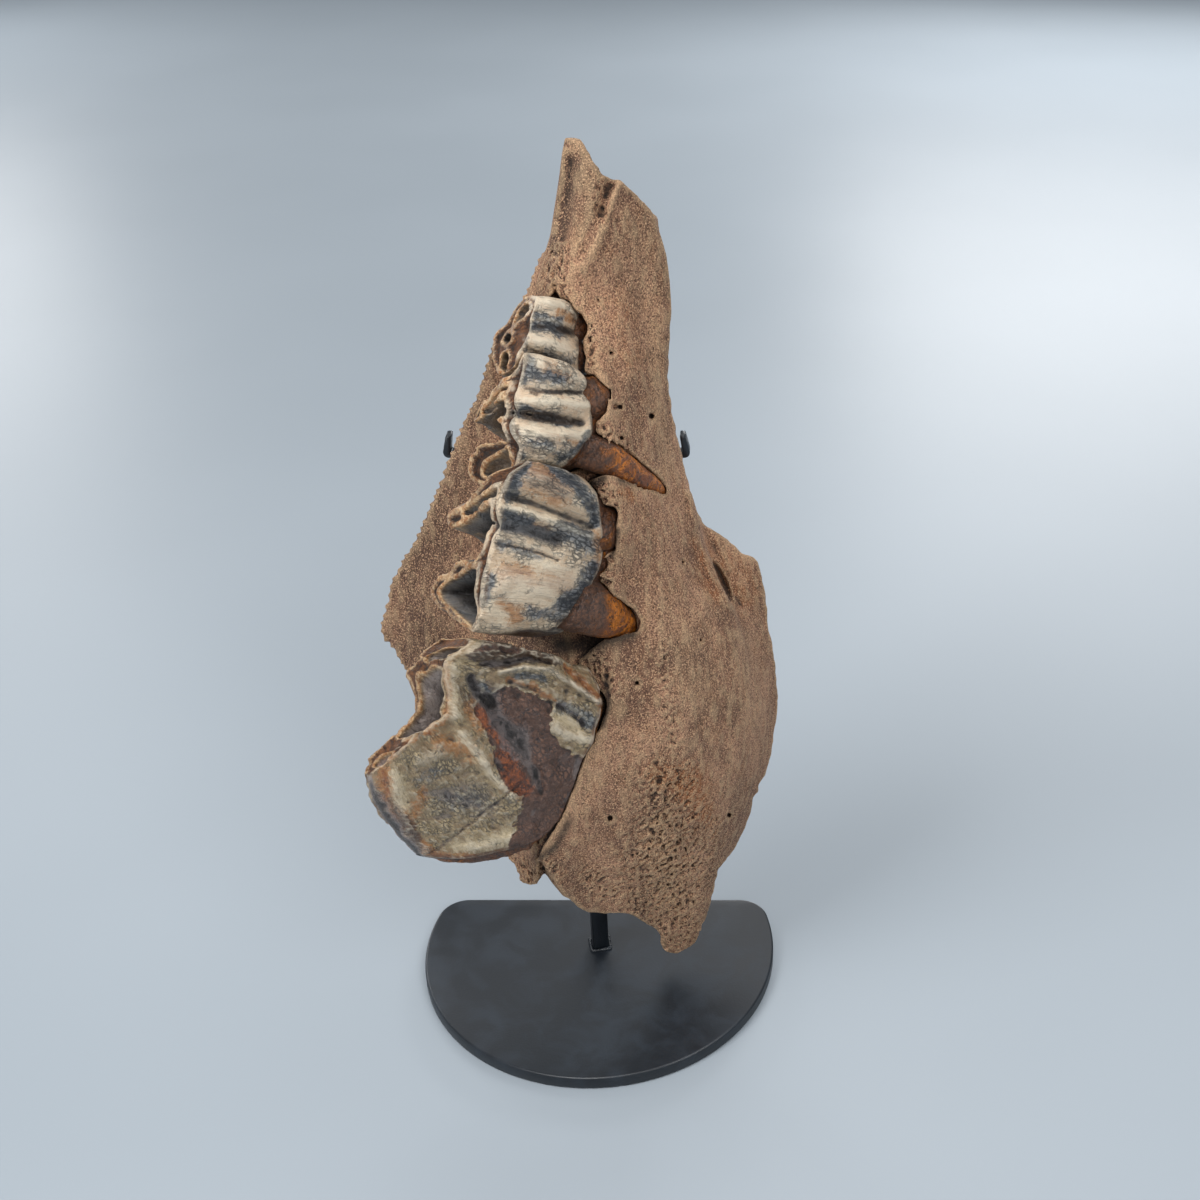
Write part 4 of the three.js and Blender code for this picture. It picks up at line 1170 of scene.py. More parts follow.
def root_tube(points, width, taper):
    """A bare root: a tapering tube through points, blunt at its end, as closed points, caps and quads."""
    shares = np.linspace(0, 1, ROOT_RINGS)
    path = along_curve(seen(points), shares)
    way = np.gradient(path, axis=0)
    way /= np.linalg.norm(way, axis=1, keepdims=True)
    across = np.cross(way, [0.0, 0.0, 1.0])
    across /= np.linalg.norm(across, axis=1, keepdims=True)
    along = np.cross(across, way)
    half = width / 2 * np.interp(shares, ROOT_TAPER_AT, taper)
    turn = np.linspace(0, 2 * np.pi, ROOT_SIDES, endpoint=False)
    ring = (
        along[:, None, :] * (np.cos(turn)[None, :, None] * half[:, None, None])
        + across[:, None, :] * (np.sin(turn)[None, :, None] * half[:, None, None] * ROOT_FLATNESS)
    )
    skin = path[:, None, :] + ring
    normal = ring / np.linalg.norm(ring, axis=2, keepdims=True)
    skin = skin + normal * 0.3 * grain(skin.reshape(-1, 3), (4, 4, 4), 81, 2).reshape(ROOT_RINGS, ROOT_SIDES, 1)
    index = np.arange(ROOT_RINGS * ROOT_SIDES).reshape(ROOT_RINGS, ROOT_SIDES)
    after = np.roll(index, -1, axis=1)
    quads = np.stack([index[:-1], after[:-1], after[1:], index[1:]], -1).reshape(-1, 4)
    points = np.vstack([skin.reshape(-1, 3), path[:1], path[-1:]])
    hub = ROOT_RINGS * ROOT_SIDES
    lids = [
        np.column_stack([after[0], index[0], np.full(ROOT_SIDES, hub)]),
        np.column_stack([index[-1], after[-1], np.full(ROOT_SIDES, hub + 1)]),
    ]
    return points, np.vstack(lids), quads


def tooth_piece(tooth, settings, material):
    points, triangles, quads, masks, place = crown_body(tooth, settings.voxel / MM)
    local = points
    world = place(points)
    tooth["shells"] = [(world, as_faces(triangles, quads))]
    all_points, all_local, blocks3, blocks4 = [world], [local], [triangles], [quads]
    masks = {name: [values] for name, values in masks.items()}
    tubes = [(*lobe, LOBE_TAPER, LOBE_FIRE) for lobe in tooth["lobes"]]
    tubes += [(*root, ROOT_TAPER, ROOT_FIRE) for root in tooth.get("bare_roots", [])]
    for line, width, taper, fire in tubes:
        root, lids, sides = root_tube(line, width, taper)
        start = sum(len(block) for block in all_points)
        tooth["shells"].append((root, [lids, sides]))
        all_points.append(root)
        all_local.append(root)
        blocks3.append(lids + start)
        blocks4.append(sides + start)
        for name, values in masks.items():
            down_root = np.append(np.repeat(np.linspace(0, 1, ROOT_RINGS), ROOT_SIDES), [0, 1])
            flame = fire * smooth(0.1, 0.7, down_root)
            values.append(flame if name == "fire" else np.full(len(root), {"root": 1.0, "rise": 0.5}.get(name, 0.0)))
    points = np.vstack(all_points)
    low, high = np.array(CAD_BOX[0]) / MM + 0.1, np.array(CAD_BOX[1]) / MM - 0.1
    points = np.clip(points, low, high)
    faces = as_faces(np.vstack(blocks3), np.vstack(blocks4))
    piece = mesh_object(tooth["name"] + "_detailed", points, faces, material)
    give_place(piece, "tooth_place", np.vstack(all_local))
    for name, values in masks.items():
        give_mask(piece, name, np.concatenate(values))
    normals = mesh_normals(piece)
    across, down = photo_place(points)
    facing = smooth(-0.2, 0.05, -(normals * (points - EYE)).sum(1) / np.linalg.norm(points - EYE, axis=1))
    # hollowness, which the material paints with shade in pits and hollows and with highlight on bumps
    give_mask(piece, "hollow", smooth(-0.16, 0.2, hollowness(piece, points, normals, 3)))
    give_mask(piece, "broad_hollow", smooth(-0.9, 0.9, hollowness(piece, points, normals, 16)))
    drift = [3.0 * grain(points, 3.5, seed, 3) + 2.0 * grain(points, 1.2, seed + 10, 2) for seed in (311, 312)]
    loose = {name: grain(points, 9.0, seed, 3) for name, seed in (("brown", 302), ("rust", 303), ("pale", 304))}
    for name in ("blue", "brown", "rust", "pale", "violet"):
        drawn = read_sheet(sheet_strokes(tooth["stains_and_painted_light"].get(name, [])), across + drift[0], down + drift[1])
        other = smooth(0.15, 0.75, loose[name]) * 0.35 if name in loose else 0.0
        give_mask(piece, name, np.clip(drawn * facing + other * (1 - facing), 0, 1))
    return piece


# Finishes

def tooth_material(name, settings, cream, pale, blotch, pocket, bright, flank_tint):
    """Fossil enamel, a dense glassy mineral stained by ground water: rust in blotches, grey-blue in its grooves,
    crazed with fine dark lines; painted highlight makes its ribs and bumps cream, painted shade darkens its grooves,
    pits and pocket depths; dentine and roots show orange-brown with black streaks."""
    material, tree = new_material(name)
    local = add_node(tree, "ShaderNodeAttribute", attribute_name="tooth_place").outputs["Vector"]
    spot = add_node(tree, "ShaderNodeTexCoord").outputs["Object"]
    streak = cloud(tree, stretched(tree, local, (0.7, 0.7, 6.0), 1.0), 4.0, 0.65, 0.6)
    fleck = cloud(tree, stretched(tree, spot, (1.2, 1.2, 1.2)), 5.0, 0.7, 0.8)
    broad = cloud(tree, stretched(tree, spot, (6, 6, 6)), 4.0, 0.62, 0.8)
    rise, hollow = mask(tree, "rise"), mask(tree, "hollow")
    root = mask(tree, "root")
    colour = mix_colour(tree, span(tree, broad, 0.38, 0.64), hex_colour(cream), hex_colour(pale))
    colour = mix_colour(tree, span(tree, streak, 0.5, 0.68, 0, 0.6), colour, hex_colour(blotch))

    # flanks towards the tongue: brown and grey streaks
    flank = mix_colour(tree, span(tree, streak, 0.4, 0.6), hex_colour("#5b4433"), hex_colour("#bda88a"))
    flank = mix_colour(tree, span(tree, broad, 0.47, 0.6, 0, 0.7), flank, hex_colour(flank_tint))
    flanking = sums(tree, "SUBTRACT", 1.0, mask(tree, "cheek"))
    colour = mix_colour(tree, sums(tree, "MULTIPLY", flanking, 0.85), colour, flank)

    def marked(base, worth, shade, low, high, strength, noise, part=1.3):
        worth = sums(tree, "ADD", worth, sums(tree, "MULTIPLY", sums(tree, "SUBTRACT", noise, 0.5), part))
        return mix_colour(tree, span(tree, worth, low, high, 0, strength), base, hex_colour(shade))

    colour = marked(colour, mask(tree, "rust"), "#ad7138", 0.1, 0.5, 0.75, fleck, 1.8)
    colour = marked(colour, mask(tree, "rust"), "#83461f", 0.6, 1.2, 0.85, fleck, 1.8)
    # pale marks along the ribs: paler enamel with painted highlight
    colour = marked(colour, mask(tree, "pale"), bright, 0.2, 1.0, 0.75, streak, 2.2)
    # painted highlight: cream where the drawn ribs rise
    colour = marked(colour, rise, "#e2d0b6", 0.6, 1.05, 0.6, streak, 0.6)
    # brown marks: stain and crust, with painted shade where they follow the grooves
    colour = marked(colour, mask(tree, "brown"), "#4f3929", 0.25, 0.9, 0.9, fleck)
    # blue marks in the grooves and along the margins: grey-blue staining with painted shade
    colour = marked(colour, mask(tree, "blue"), "#6f7a83", 0.1, 0.55, 0.8, fleck)
    colour = marked(colour, mask(tree, "blue"), "#333b44", 0.45, 1.1, 0.88, streak, 1.8)
    # painted shade: grey where the drawn grooves sink
    colour = marked(colour, sums(tree, "SUBTRACT", 1.0, rise), "#4d4f50", 0.58, 1.0, 0.65, fleck, 0.8)
    colour = marked(colour, mask(tree, "collar"), "#6e472d", 0.35, 0.9, 0.85, fleck, 1.0)
    crust = span(tree, sums(tree, "ADD", mask(tree, "violet"), sums(tree, "MULTIPLY", fleck, 0.2)), 0.5, 0.7)
    crust_colour = mix_colour(tree, span(tree, broad, 0.38, 0.62), hex_colour("#4b3226"), hex_colour("#7a5643"))
    crust_colour = mix_colour(tree, span(tree, fleck, 0.46, 0.34, 0, 0.8), crust_colour, hex_colour("#241916"))
    crust_colour = mix_colour(tree, span(tree, fleck, 0.54, 0.64, 0, 0.55), crust_colour, hex_colour("#94786a"))
    red = span(tree, sums(tree, "ADD", mask(tree, "rust"), sums(tree, "MULTIPLY", broad, 0.4)), 0.5, 1.1)
    rusty = mix_colour(tree, span(tree, fleck, 0.4, 0.6), hex_colour("#6b3820"), hex_colour("#a4592c"))
    crust_colour = mix_colour(tree, red, crust_colour, rusty)
    colour = mix_colour(tree, crust, colour, crust_colour)

    # crazing: fine dark mineral-filled lines and scratches along the crown's height, thickest where it is stained
    even = stretched(tree, local, (1.3, 1.3, 2.4), 1.0)
    wobble = add_node(tree, "ShaderNodeVectorMath", {0: even, 1: fleck}, operation="ADD")
    cracks = add_node(
        tree, "ShaderNodeTexVoronoi", {"Vector": wobble.outputs[0], "Scale": 1.0}, feature="DISTANCE_TO_EDGE"
    ).outputs["Distance"]
    zone = sums(tree, "ADD", broad, sums(tree, "MULTIPLY", mask(tree, "blue"), 0.35))
    zone = sums(tree, "SUBTRACT", zone, sums(tree, "MULTIPLY", mask(tree, "pale"), 0.12))
    crack = sums(tree, "MULTIPLY", span(tree, cracks, 0.13, 0.02), span(tree, zone, 0.44, 0.66))
    scratch = sums(tree, "MULTIPLY", span(tree, streak, 0.54, 0.62), span(tree, zone, 0.42, 0.64))
    speck = sums(tree, "MULTIPLY", span(tree, fleck, 0.45, 0.34), span(tree, zone, 0.36, 0.58))
    crack = sums(tree, "MAXIMUM", crack, sums(tree, "MULTIPLY", scratch, 0.8))
    dark = sums(tree, "MULTIPLY", sums(tree, "MAXIMUM", crack, speck), 0.7)
    colour = mix_colour(tree, dark, colour, hex_colour("#2a2f36"))

    # pocket walls take the pocket tint and their depths get painted shade, near black; dentine shows brown between
    # the enamel edges, roots are burnt orange
    colour = mix_colour(tree, sums(tree, "MULTIPLY", mask(tree, "pocket"), 0.75), colour, hex_colour(pocket))
    colour = mix_colour(tree, sums(tree, "MULTIPLY", mask(tree, "deep"), 0.92), colour, hex_colour("#1d1512"))
    dentine = mix_colour(tree, span(tree, fleck, 0.35, 0.65), hex_colour("#3d2415"), hex_colour("#80502a"))
    colour = mix_colour(tree, mask(tree, "dentine"), colour, dentine)
    edge = mix_colour(tree, span(tree, fleck, 0.4, 0.62), hex_colour("#a56a35"), hex_colour("#dcbc90"))
    rim = sums(tree, "MULTIPLY", mask(tree, "ridge"), span(tree, flanking, 0, 1, 0.35, 0.9))
    colour = mix_colour(tree, rim, colour, edge)
    burnt = mix_colour(tree, span(tree, broad, 0.42, 0.6), hex_colour("#7a4118"), hex_colour("#d67c1e"))
    burnt = mix_colour(tree, span(tree, streak, 0.52, 0.64, 0, 0.4), burnt, hex_colour("#3b2418"))
    burnt = mix_colour(tree, span(tree, fleck, 0.52, 0.62, 0, 0.9), burnt, hex_colour("#21150f"))
    calm = mix_colour(tree, span(tree, fleck, 0.4, 0.65), hex_colour("#3a261c"), hex_colour("#7a5035"))
    heat = sums(tree, "ADD", mask(tree, "fire"), sums(tree, "MULTIPLY", broad, 1.6))
    burnt = mix_colour(tree, span(tree, heat, 0.9, 1.5), calm, burnt)
    colour = mix_colour(tree, root, colour, burnt)
    # painted shade: near black in pits and dark in broad hollows
    colour = mix_colour(tree, span(tree, hollow, 0.55, 0.95, 0, 0.75), colour, hex_colour("#231b17"))
    shaded = span(tree, mask(tree, "broad_hollow"), 0.58, 0.95, 0, 0.6)
    colour = mix_colour(tree, shaded, colour, hex_colour("#2b2624"))
    # painted highlight: pale cream on the convex bumps of the bare cheek enamel
    bare = sums(tree, "SUBTRACT", mask(tree, "cheek"), sums(tree, "MAXIMUM", root, crust), clamp=True)
    bump_highlight = sums(tree, "MULTIPLY", span(tree, hollow, 0.42, 0.05, 0, 0.4), bare)
    colour = mix_colour(tree, bump_highlight, colour, hex_colour("#e9dcc4"))

    matt = sums(tree, "ADD", mask(tree, "dentine"), mask(tree, "violet"), clamp=True)
    gloss = span(tree, sums(tree, "ADD", sums(tree, "MULTIPLY", matt, 0.3), fleck), 0.2, 1.3, settings.gloss, 0.75)
    height = sums(tree, "ADD", sums(tree, "MULTIPLY", streak, 0.8), sums(tree, "MULTIPLY", fleck, 0.7))
    height = sums(tree, "SUBTRACT", height, crack)
    finish_material(tree, {"Base Color": colour, "Roughness": gloss, "IOR": 1.6}, (height, 0.9, 0.9))
    return material


def bone_material(settings):
    """Mineralised bone, dry and matt: warm brown, fine upright grain, dark pores; painted shade in its pits, hollows
    and gaps, and painted tan highlight on its edges.
    """
    material, tree = new_material("mineralised bone")
    spot = add_node(tree, "ShaderNodeTexCoord").outputs["Object"]
    fibre = cloud(tree, stretched(tree, spot, (0.6, 0.6, 1.3)), 3.0, 0.6, 0.4)
    speck = cloud(tree, stretched(tree, spot, (0.45, 0.45, 0.5)), 2.0, 0.6, 0.2)
    broad = cloud(tree, stretched(tree, spot, (20, 20, 34)), 4.0, 0.6, 0.7)
    medium = cloud(tree, stretched(tree, spot, (5, 5, 7)), 4.0, 0.66, 0.5)
    colour = mix_colour(tree, span(tree, broad, 0.38, 0.62), hex_colour(settings.dark), hex_colour(settings.light))
    colour = mix_colour(tree, span(tree, medium, 0.42, 0.66, 0, 0.45), colour, hex_colour("#ab7c58"))
    colour = mix_colour(tree, span(tree, mask(tree, "tan"), 0.1, 1.0, 0, 0.6), colour, hex_colour("#c09a75"))
    rust = sums(tree, "MULTIPLY", mask(tree, "rust"), medium)
    colour = mix_colour(tree, span(tree, rust, 0.06, 0.45, 0, 0.75), colour, hex_colour("#a8622f"))
    # darker marks: painted shade along grooves, the slit and gaps, and broader darker patches
    colour = mix_colour(tree, span(tree, mask(tree, "shadow_and_dark_patches"), 0.1, 1.0, 0, 0.65), colour, hex_colour("#57443a"))
    colour = mix_colour(tree, span(tree, fibre, 0.48, 0.34, 0, 0.65), colour, hex_colour("#47301f"))
    colour = mix_colour(tree, span(tree, speck, 0.48, 0.38, 0, 0.75), colour, hex_colour("#4a3325"))
    colour = mix_colour(tree, span(tree, speck, 0.54, 0.62, 0, 0.8), colour, hex_colour("#e0b48c"))
    cells = {"Vector": stretched(tree, spot, (1.2, 1.2, 1.6)), "Scale": 1.0}
    pit = add_node(tree, "ShaderNodeTexVoronoi", cells).outputs["Distance"]
    pit = span(tree, sums(tree, "ADD", pit, sums(tree, "MULTIPLY", speck, 0.6)), 0.56, 0.38)
    open_bone = sums(tree, "ADD", medium, sums(tree, "MULTIPLY", mask(tree, "sponge"), 0.5))
    pit = sums(tree, "MULTIPLY", pit, span(tree, open_bone, 0.5, 0.8))
    colour = mix_colour(tree, sums(tree, "MULTIPLY", pit, 0.9), colour, hex_colour("#241a13"))
    # painted shade near black in pits and creases, painted tan highlight on edges, painted shade in broad hollows, and
    # painted shadow near black in the gaps round the teeth
    colour = mix_colour(tree, span(tree, mask(tree, "hollow"), 0.55, 0.95, 0, 0.85), colour, hex_colour("#241a14"))
    colour = mix_colour(tree, span(tree, mask(tree, "hollow"), 0.42, 0.1, 0, 0.35), colour, hex_colour("#d8b88f"))
    colour = mix_colour(tree, span(tree, mask(tree, "broad_hollow"), 0.6, 1.0, 0, 0.6), colour, hex_colour("#3c2d24"))
    colour = mix_colour(tree, sums(tree, "MULTIPLY", mask(tree, "gap"), 0.85), colour, hex_colour("#1c1410"))
    height = sums(tree, "ADD", sums(tree, "MULTIPLY", fibre, 0.9), speck)
    height = sums(tree, "SUBTRACT", height, sums(tree, "MULTIPLY", pit, 1.4))
    finish_material(tree, {"Base Color": colour, "Roughness": settings.roughness, "IOR": 1.5}, (height, 0.9, 1.0))
    return material


def coat_material(settings):
    """Steel under satin black powder coat: blue-grey where it catches the light, with a faint orange peel."""
    material, tree = new_material("satin powder coat")
    spot = add_node(tree, "ShaderNodeTexCoord").outputs["Object"]
    peel = cloud(tree, stretched(tree, spot, (0.9, 0.9, 0.9)), 2.0, 0.5)
    dust = cloud(tree, stretched(tree, spot, (14, 14, 14)), 3.0, 0.6, 0.5)
    colour = mix_colour(tree, span(tree, dust, 0.4, 0.7), hex_colour(settings.coat), hex_colour("#1d242c"))
    worn = sums(tree, "ADD", sums(tree, "MULTIPLY", peel, 0.3), dust)
    rough = span(tree, worn, 0.4, 0.9, settings.roughness, settings.roughness + 0.1)
    finish_material(tree, {"Base Color": colour, "Roughness": rough, "IOR": 1.5}, (peel, 0.06, 0.5))
    return material


# The stand, in millimetres, on the sizes of the base plate and upright of the solid model
PLATE_RADIUS, PLATE_THICKNESS, PLATE_BACK, PLATE_CORNER = 65.0, 5.3, 24.7, 11.2
PLATE_ROUNDING = 0.9
ROD_SIDE, ROD_TURN, ROD_ROUNDING, ROD_OVERLAP = 6.0, 12.0, 0.7, 0.5
STRIP_HEIGHT, STRIP_WIDTH, STRIP_FRONT, STRIP_THICKNESS, TAB_HEIGHT = 207.4, 4.6, 2.4, 1.8, 7.6
STRIP_ROUNDING = 0.55
STRIP_ENDS = [[446, 452, 3], [687, 455, 3]]
TAB_PROFILE = [[-0.4, 0], [0.6, 0.5], [1.0, 1.8], [-0.4, TAB_HEIGHT], [-2.2, TAB_HEIGHT], [-1.4, STRIP_THICKNESS]]
REST_HEIGHT, REST_REACH, REST_THICKNESS, REST_LIP, REST_ROUNDING = 128.0, 21.0, 3.0, 9.0, 0.6
FOOT_GAP = 0.35


def arc(centre, radius, start, end, steps):
    turn = np.linspace(start, end, steps)
    return np.column_stack([centre[0] + radius * np.cos(turn), centre[1] + radius * np.sin(turn)])


def plate_outline():
    inset = PLATE_BACK - PLATE_CORNER
    reach = math.sqrt((PLATE_RADIUS - PLATE_CORNER) ** 2 - inset**2)
    lean = math.atan2(inset, reach)
    front = arc((0, 0), PLATE_RADIUS, math.pi - lean, 2 * math.pi + lean, 140)
    right = arc((reach, inset), PLATE_CORNER, lean, math.pi / 2, 24)
    left = arc((-reach, inset), PLATE_CORNER, math.pi / 2, math.pi - lean, 24)
    return np.vstack([front, right[1:], left[:-1]])


def bar(name, outline, depth, rounding, turn, material, segments=3):
    """A solid of the given outline and depth with rounded edges, placed by a matrix, all in millimetres."""
    shape = bmesh.new()
    bottom = [shape.verts.new((x, y, 0)) for x, y in outline]
    face = shape.faces.new(bottom)
    top = bmesh.ops.extrude_face_region(shape, geom=[face])
    bmesh.ops.translate(shape, vec=(0, 0, depth), verts=[v for v in top["geom"] if isinstance(v, bmesh.types.BMVert)])
    bmesh.ops.recalc_face_normals(shape, faces=shape.faces)
    bmesh.ops.transform(shape, matrix=Matrix.Scale(MM, 4) @ turn, verts=shape.verts)
    mesh = bpy.data.meshes.new(name)
    shape.to_mesh(mesh)
    shape.free()
    piece = bpy.data.objects.new(name, mesh)
    bpy.context.scene.collection.objects.link(piece)
    mesh.materials.append(material)
    bevel = piece.modifiers.new("rounding", "BEVEL")
    bevel.width = rounding * MM
    bevel.segments = segments
    bevel.limit_method = "ANGLE"
    bevel.angle_limit = math.radians(25)
    bevel.harden_normals = True
    make_plain(piece)
    for polygon in piece.data.polygons:
        polygon.use_smooth = True
    piece.data.set_sharp_from_angle(angle=math.radians(40))
    return piece


def joined(name, pieces):
    shape = bmesh.new()
    material = pieces[0].data.materials[0]
    for piece in pieces:
        shape.from_mesh(piece.data)
        bpy.data.objects.remove(piece)
    mesh = bpy.data.meshes.new(name)
    shape.to_mesh(mesh)
    shape.free()
    mesh.materials.clear()
    mesh.materials.append(material)
    made = bpy.data.objects.new(name, mesh)
    bpy.context.scene.collection.objects.link(made)
    return made


def upright_piece(material):
    """The square rod, the cradle strip with its turned-up tabs, and the rest arm, welded together."""
    half = ROD_SIDE / 2
    square = [(-half, -half), (half, -half), (half, half), (-half, half)]
    foot = PLATE_THICKNESS + FOOT_GAP
    turn = Matrix.Translation((0, 0, foot)) @ Matrix.Rotation(math.radians(ROD_TURN), 4, "Z")
    rod = bar("rod", square, STRIP_HEIGHT + ROD_OVERLAP - foot, ROD_ROUNDING, turn, material)
    left, right = (seen([end])[0][0] for end in STRIP_ENDS)
    outline = [(right + out, STRIP_HEIGHT + up) for out, up in TAB_PROFILE]
    outline += [(left - out, STRIP_HEIGHT + up) for out, up in TAB_PROFILE][::-1]
    upright = Matrix.Rotation(math.pi / 2, 4, "X")
    place = Matrix.Translation((0, STRIP_FRONT + STRIP_WIDTH, 0)) @ upright
    strip = bar("strip", outline, STRIP_WIDTH, STRIP_ROUNDING, place, material)
    reach, thick, lip = REST_REACH, REST_THICKNESS, REST_LIP
    arm_outline = [(0, 0), (reach, 0), (reach, lip), (reach - thick, lip), (reach - thick, thick), (0, thick)]
    turn = Matrix.Translation((0, 0, REST_HEIGHT)) @ Matrix.Rotation(-math.pi / 2, 4, "Z") @ upright
    arm = bar("arm", arm_outline, ROD_SIDE, REST_ROUNDING, turn @ Matrix.Translation((0, 0, -half)), material)
    return joined("upright_welded", [rod, strip, arm])


# The weld bead's sizes in millimetres, by the names of the node tree's inputs
WELD_SIZES = {"Path Side": 6.8, "Ripple Size": 0.75, "Ripple Spacing": 0.7}


def weld_tree(material):
    """A bead of weld: overlapping ripples that follow a square path, with named sizes and a fixed seed."""
    tree = bpy.data.node_groups.new("weld bead", "GeometryNodeTree")
    tree.interface.new_socket("Geometry", in_out="OUTPUT", socket_type="NodeSocketGeometry")
    for name in WELD_SIZES:
        tree.interface.new_socket(name, in_out="INPUT", socket_type="NodeSocketFloat")
    given = add_node(tree, "NodeGroupInput").outputs
    side, spacing = given["Path Side"], given["Ripple Spacing"]
    path = add_node(tree, "GeometryNodeCurvePrimitiveQuadrilateral", {"Width": side, "Height": side})
    spaced = {"Curve": path.outputs["Curve"], "Length": spacing}
    even = add_node(tree, "GeometryNodeResampleCurve", spaced, mode="LENGTH")
    ripple = add_node(tree, "GeometryNodeMeshIcoSphere", {"Radius": given["Ripple Size"], "Subdivisions": 2})
    size = add_node(tree, "FunctionNodeRandomValue", {2: 0.8, 3: 1.2, "Seed": 9}, data_type="FLOAT")
    flat = add_node(tree, "ShaderNodeCombineXYZ", {axis: size.outputs[1] for axis in "XYZ"})
    placed = add_node(
        tree,
        "GeometryNodeInstanceOnPoints",
        {"Points": even.outputs["Curve"], "Instance": ripple.outputs["Mesh"], "Scale": flat.outputs["Vector"]},
    )
    real = add_node(tree, "GeometryNodeRealizeInstances", {"Geometry": placed.outputs["Instances"]})
    coated = add_node(tree, "GeometryNodeSetMaterial", {"Geometry": real.outputs["Geometry"], "Material": material})
    add_node(tree, "NodeGroupOutput", {"Geometry": coated.outputs["Geometry"]})
    return tree


def weld_piece(material):
    mesh = bpy.data.meshes.new("foot_weld")
    piece = bpy.data.objects.new("foot_weld", mesh)
    bpy.context.scene.collection.objects.link(piece)
    modifier = piece.modifiers.new("bead", "NODES")
    modifier.node_group = weld_tree(material)
    for item in modifier.node_group.interface.items_tree:
        if item.in_out == "INPUT":
            modifier[item.identifier] = WELD_SIZES[item.name] * MM
    make_plain(piece)
    turn = Matrix.Translation((0, 0, (PLATE_THICKNESS + 0.2) * MM)) @ Matrix.Rotation(math.radians(ROD_TURN), 4, "Z")
    piece.data.transform(turn)
    for polygon in piece.data.polygons:
        polygon.use_smooth = True
    return piece


# Settings, operators and the panel

class BoneSettings(bpy.types.PropertyGroup):
    voxel: bpy.props.FloatProperty(
        name="Bone Detail",
        description="Smallest form cut into the bone",
        default=0.75 * MM,
        subtype="DISTANCE",
        unit="LENGTH",
    )
    triangles: bpy.props.IntProperty(
        name="Bone Triangles",
        description="Most triangles kept in the bone",
        default=192000,
    )
    dark: bpy.props.StringProperty(name="Dark Bone", description="sRGB colour of the darker bone", default="#7c5743")
    light: bpy.props.StringProperty(
        name="Light Bone",
        description="sRGB colour of the lighter bone",
        default="#b98b6d",
    )
    roughness: bpy.props.FloatProperty(
        name="Bone Roughness",
        description="Roughness of dry bone",
        default=0.82,
        subtype="FACTOR",
    )


class ToothSettings(bpy.types.PropertyGroup):
    voxel: bpy.props.FloatProperty(
        name="Tooth Detail",
        description="Smallest form cut into a tooth",
        default=0.5 * MM,
        subtype="DISTANCE",
        unit="LENGTH",
    )
    gloss: bpy.props.FloatProperty(
        name="Enamel Roughness",
        description="Roughness of the cleanest enamel",
        default=0.29,
        subtype="FACTOR",
    )


class StandSettings(bpy.types.PropertyGroup):
    coat: bpy.props.StringProperty(
        name="Coat Colour",
        description="sRGB colour of the powder coat",
        default="#13181e",
    )
    roughness: bpy.props.FloatProperty(
        name="Coat Roughness",
        description="Roughness of the satin coat",
        default=0.36,
        subtype="FACTOR",
    )


class StageSettings(bpy.types.PropertyGroup):
    floor: bpy.props.StringProperty(
        name="Floor Colour",
        description="sRGB colour of the studio floor",
        default="#9aa2a9",
    )
    key_power: bpy.props.FloatProperty(
        name="Key Light",
        description="Power of the main softbox",
        default=10.5,
        unit="POWER",
    )


class MAXILLA_OT_teeth(bpy.types.Operator):
    """Builds the four cheek teeth with their enamel ridges, pockets, necks and bare roots"""

    bl_idname = "maxilla.teeth"
    bl_label = "Build Teeth"

    def execute(self, context):
        settings = context.scene.maxilla_teeth
        looks = {
            "worn_enamel": ("worn fossil enamel", "#d8bc9d", "#f0dec4", "#8a8178", "#7d6650", "#e6d5bb", "#7e878d"),
            "enamel": ("fossil enamel", "#cdb191", "#ead5b8", "#8a8178", "#7f8082", "#e8d4b6", "#7e878d"),
            "unworn_enamel": (
                "unworn fossil enamel", "#8d7657", "#c0a880", "#59452f", "#a89c98", "#d6c29e", "#98622f"
            ),
        }
        finishes = {slot: tooth_material(name, settings, *shades) for slot, (name, *shades) in looks.items()}
        for tooth in TEETH:
            piece = tooth_piece(tooth, settings, finishes[tooth["slot"]])
            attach(piece, "root")
            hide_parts(tooth["name"])
        return {"FINISHED"}


class MAXILLA_OT_bone(bpy.types.Operator):
    """Builds the maxilla bone round the teeth, with its broken edges, seam, sponge and vessel holes"""

    bl_idname = "maxilla.bone"
    bl_label = "Build Bone"

    def execute(self, context):
        settings = context.scene.maxilla_bone
        piece = bone_piece(settings, TEETH, bone_material(settings))
        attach(piece, "root")
        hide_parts("maxilla_bone")
        return {"FINISHED"}


class MAXILLA_OT_stand(bpy.types.Operator):
    """Builds the base plate, the welded upright with its cradle strip, and the weld at its foot"""

    bl_idname = "maxilla.stand"
    bl_label = "Build Stand"

    def execute(self, context):
        settings = context.scene.maxilla_stand
        material = coat_material(settings)
        plate = bar(
            "base_plate_coated", plate_outline(), PLATE_THICKNESS, PLATE_ROUNDING, Matrix.Identity(4), material, 4
        )
        upright = upright_piece(material)
        weld = weld_piece(material)
        for piece, node in ((plate, "base_plate"), (upright, "upright")):
            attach(piece, "root")
            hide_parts(node)
        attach(weld, "root")
        return {"FINISHED"}


def area_light(name, place, aim, size, power, colour="#ffffff"):
    light = bpy.data.lights.new(name, "AREA")
    light.shape = "RECTANGLE"
    light.size, light.size_y = size
    light.energy = power
    light.color = hex_colour(colour)[:3]
    lamp = bpy.data.objects.new(name, light)
    lamp.location = place
    lamp.rotation_euler = (Vector(aim) - Vector(place)).to_track_quat("-Z", "Y").to_euler()
    bpy.context.scene.collection.objects.link(lamp)
    return lamp


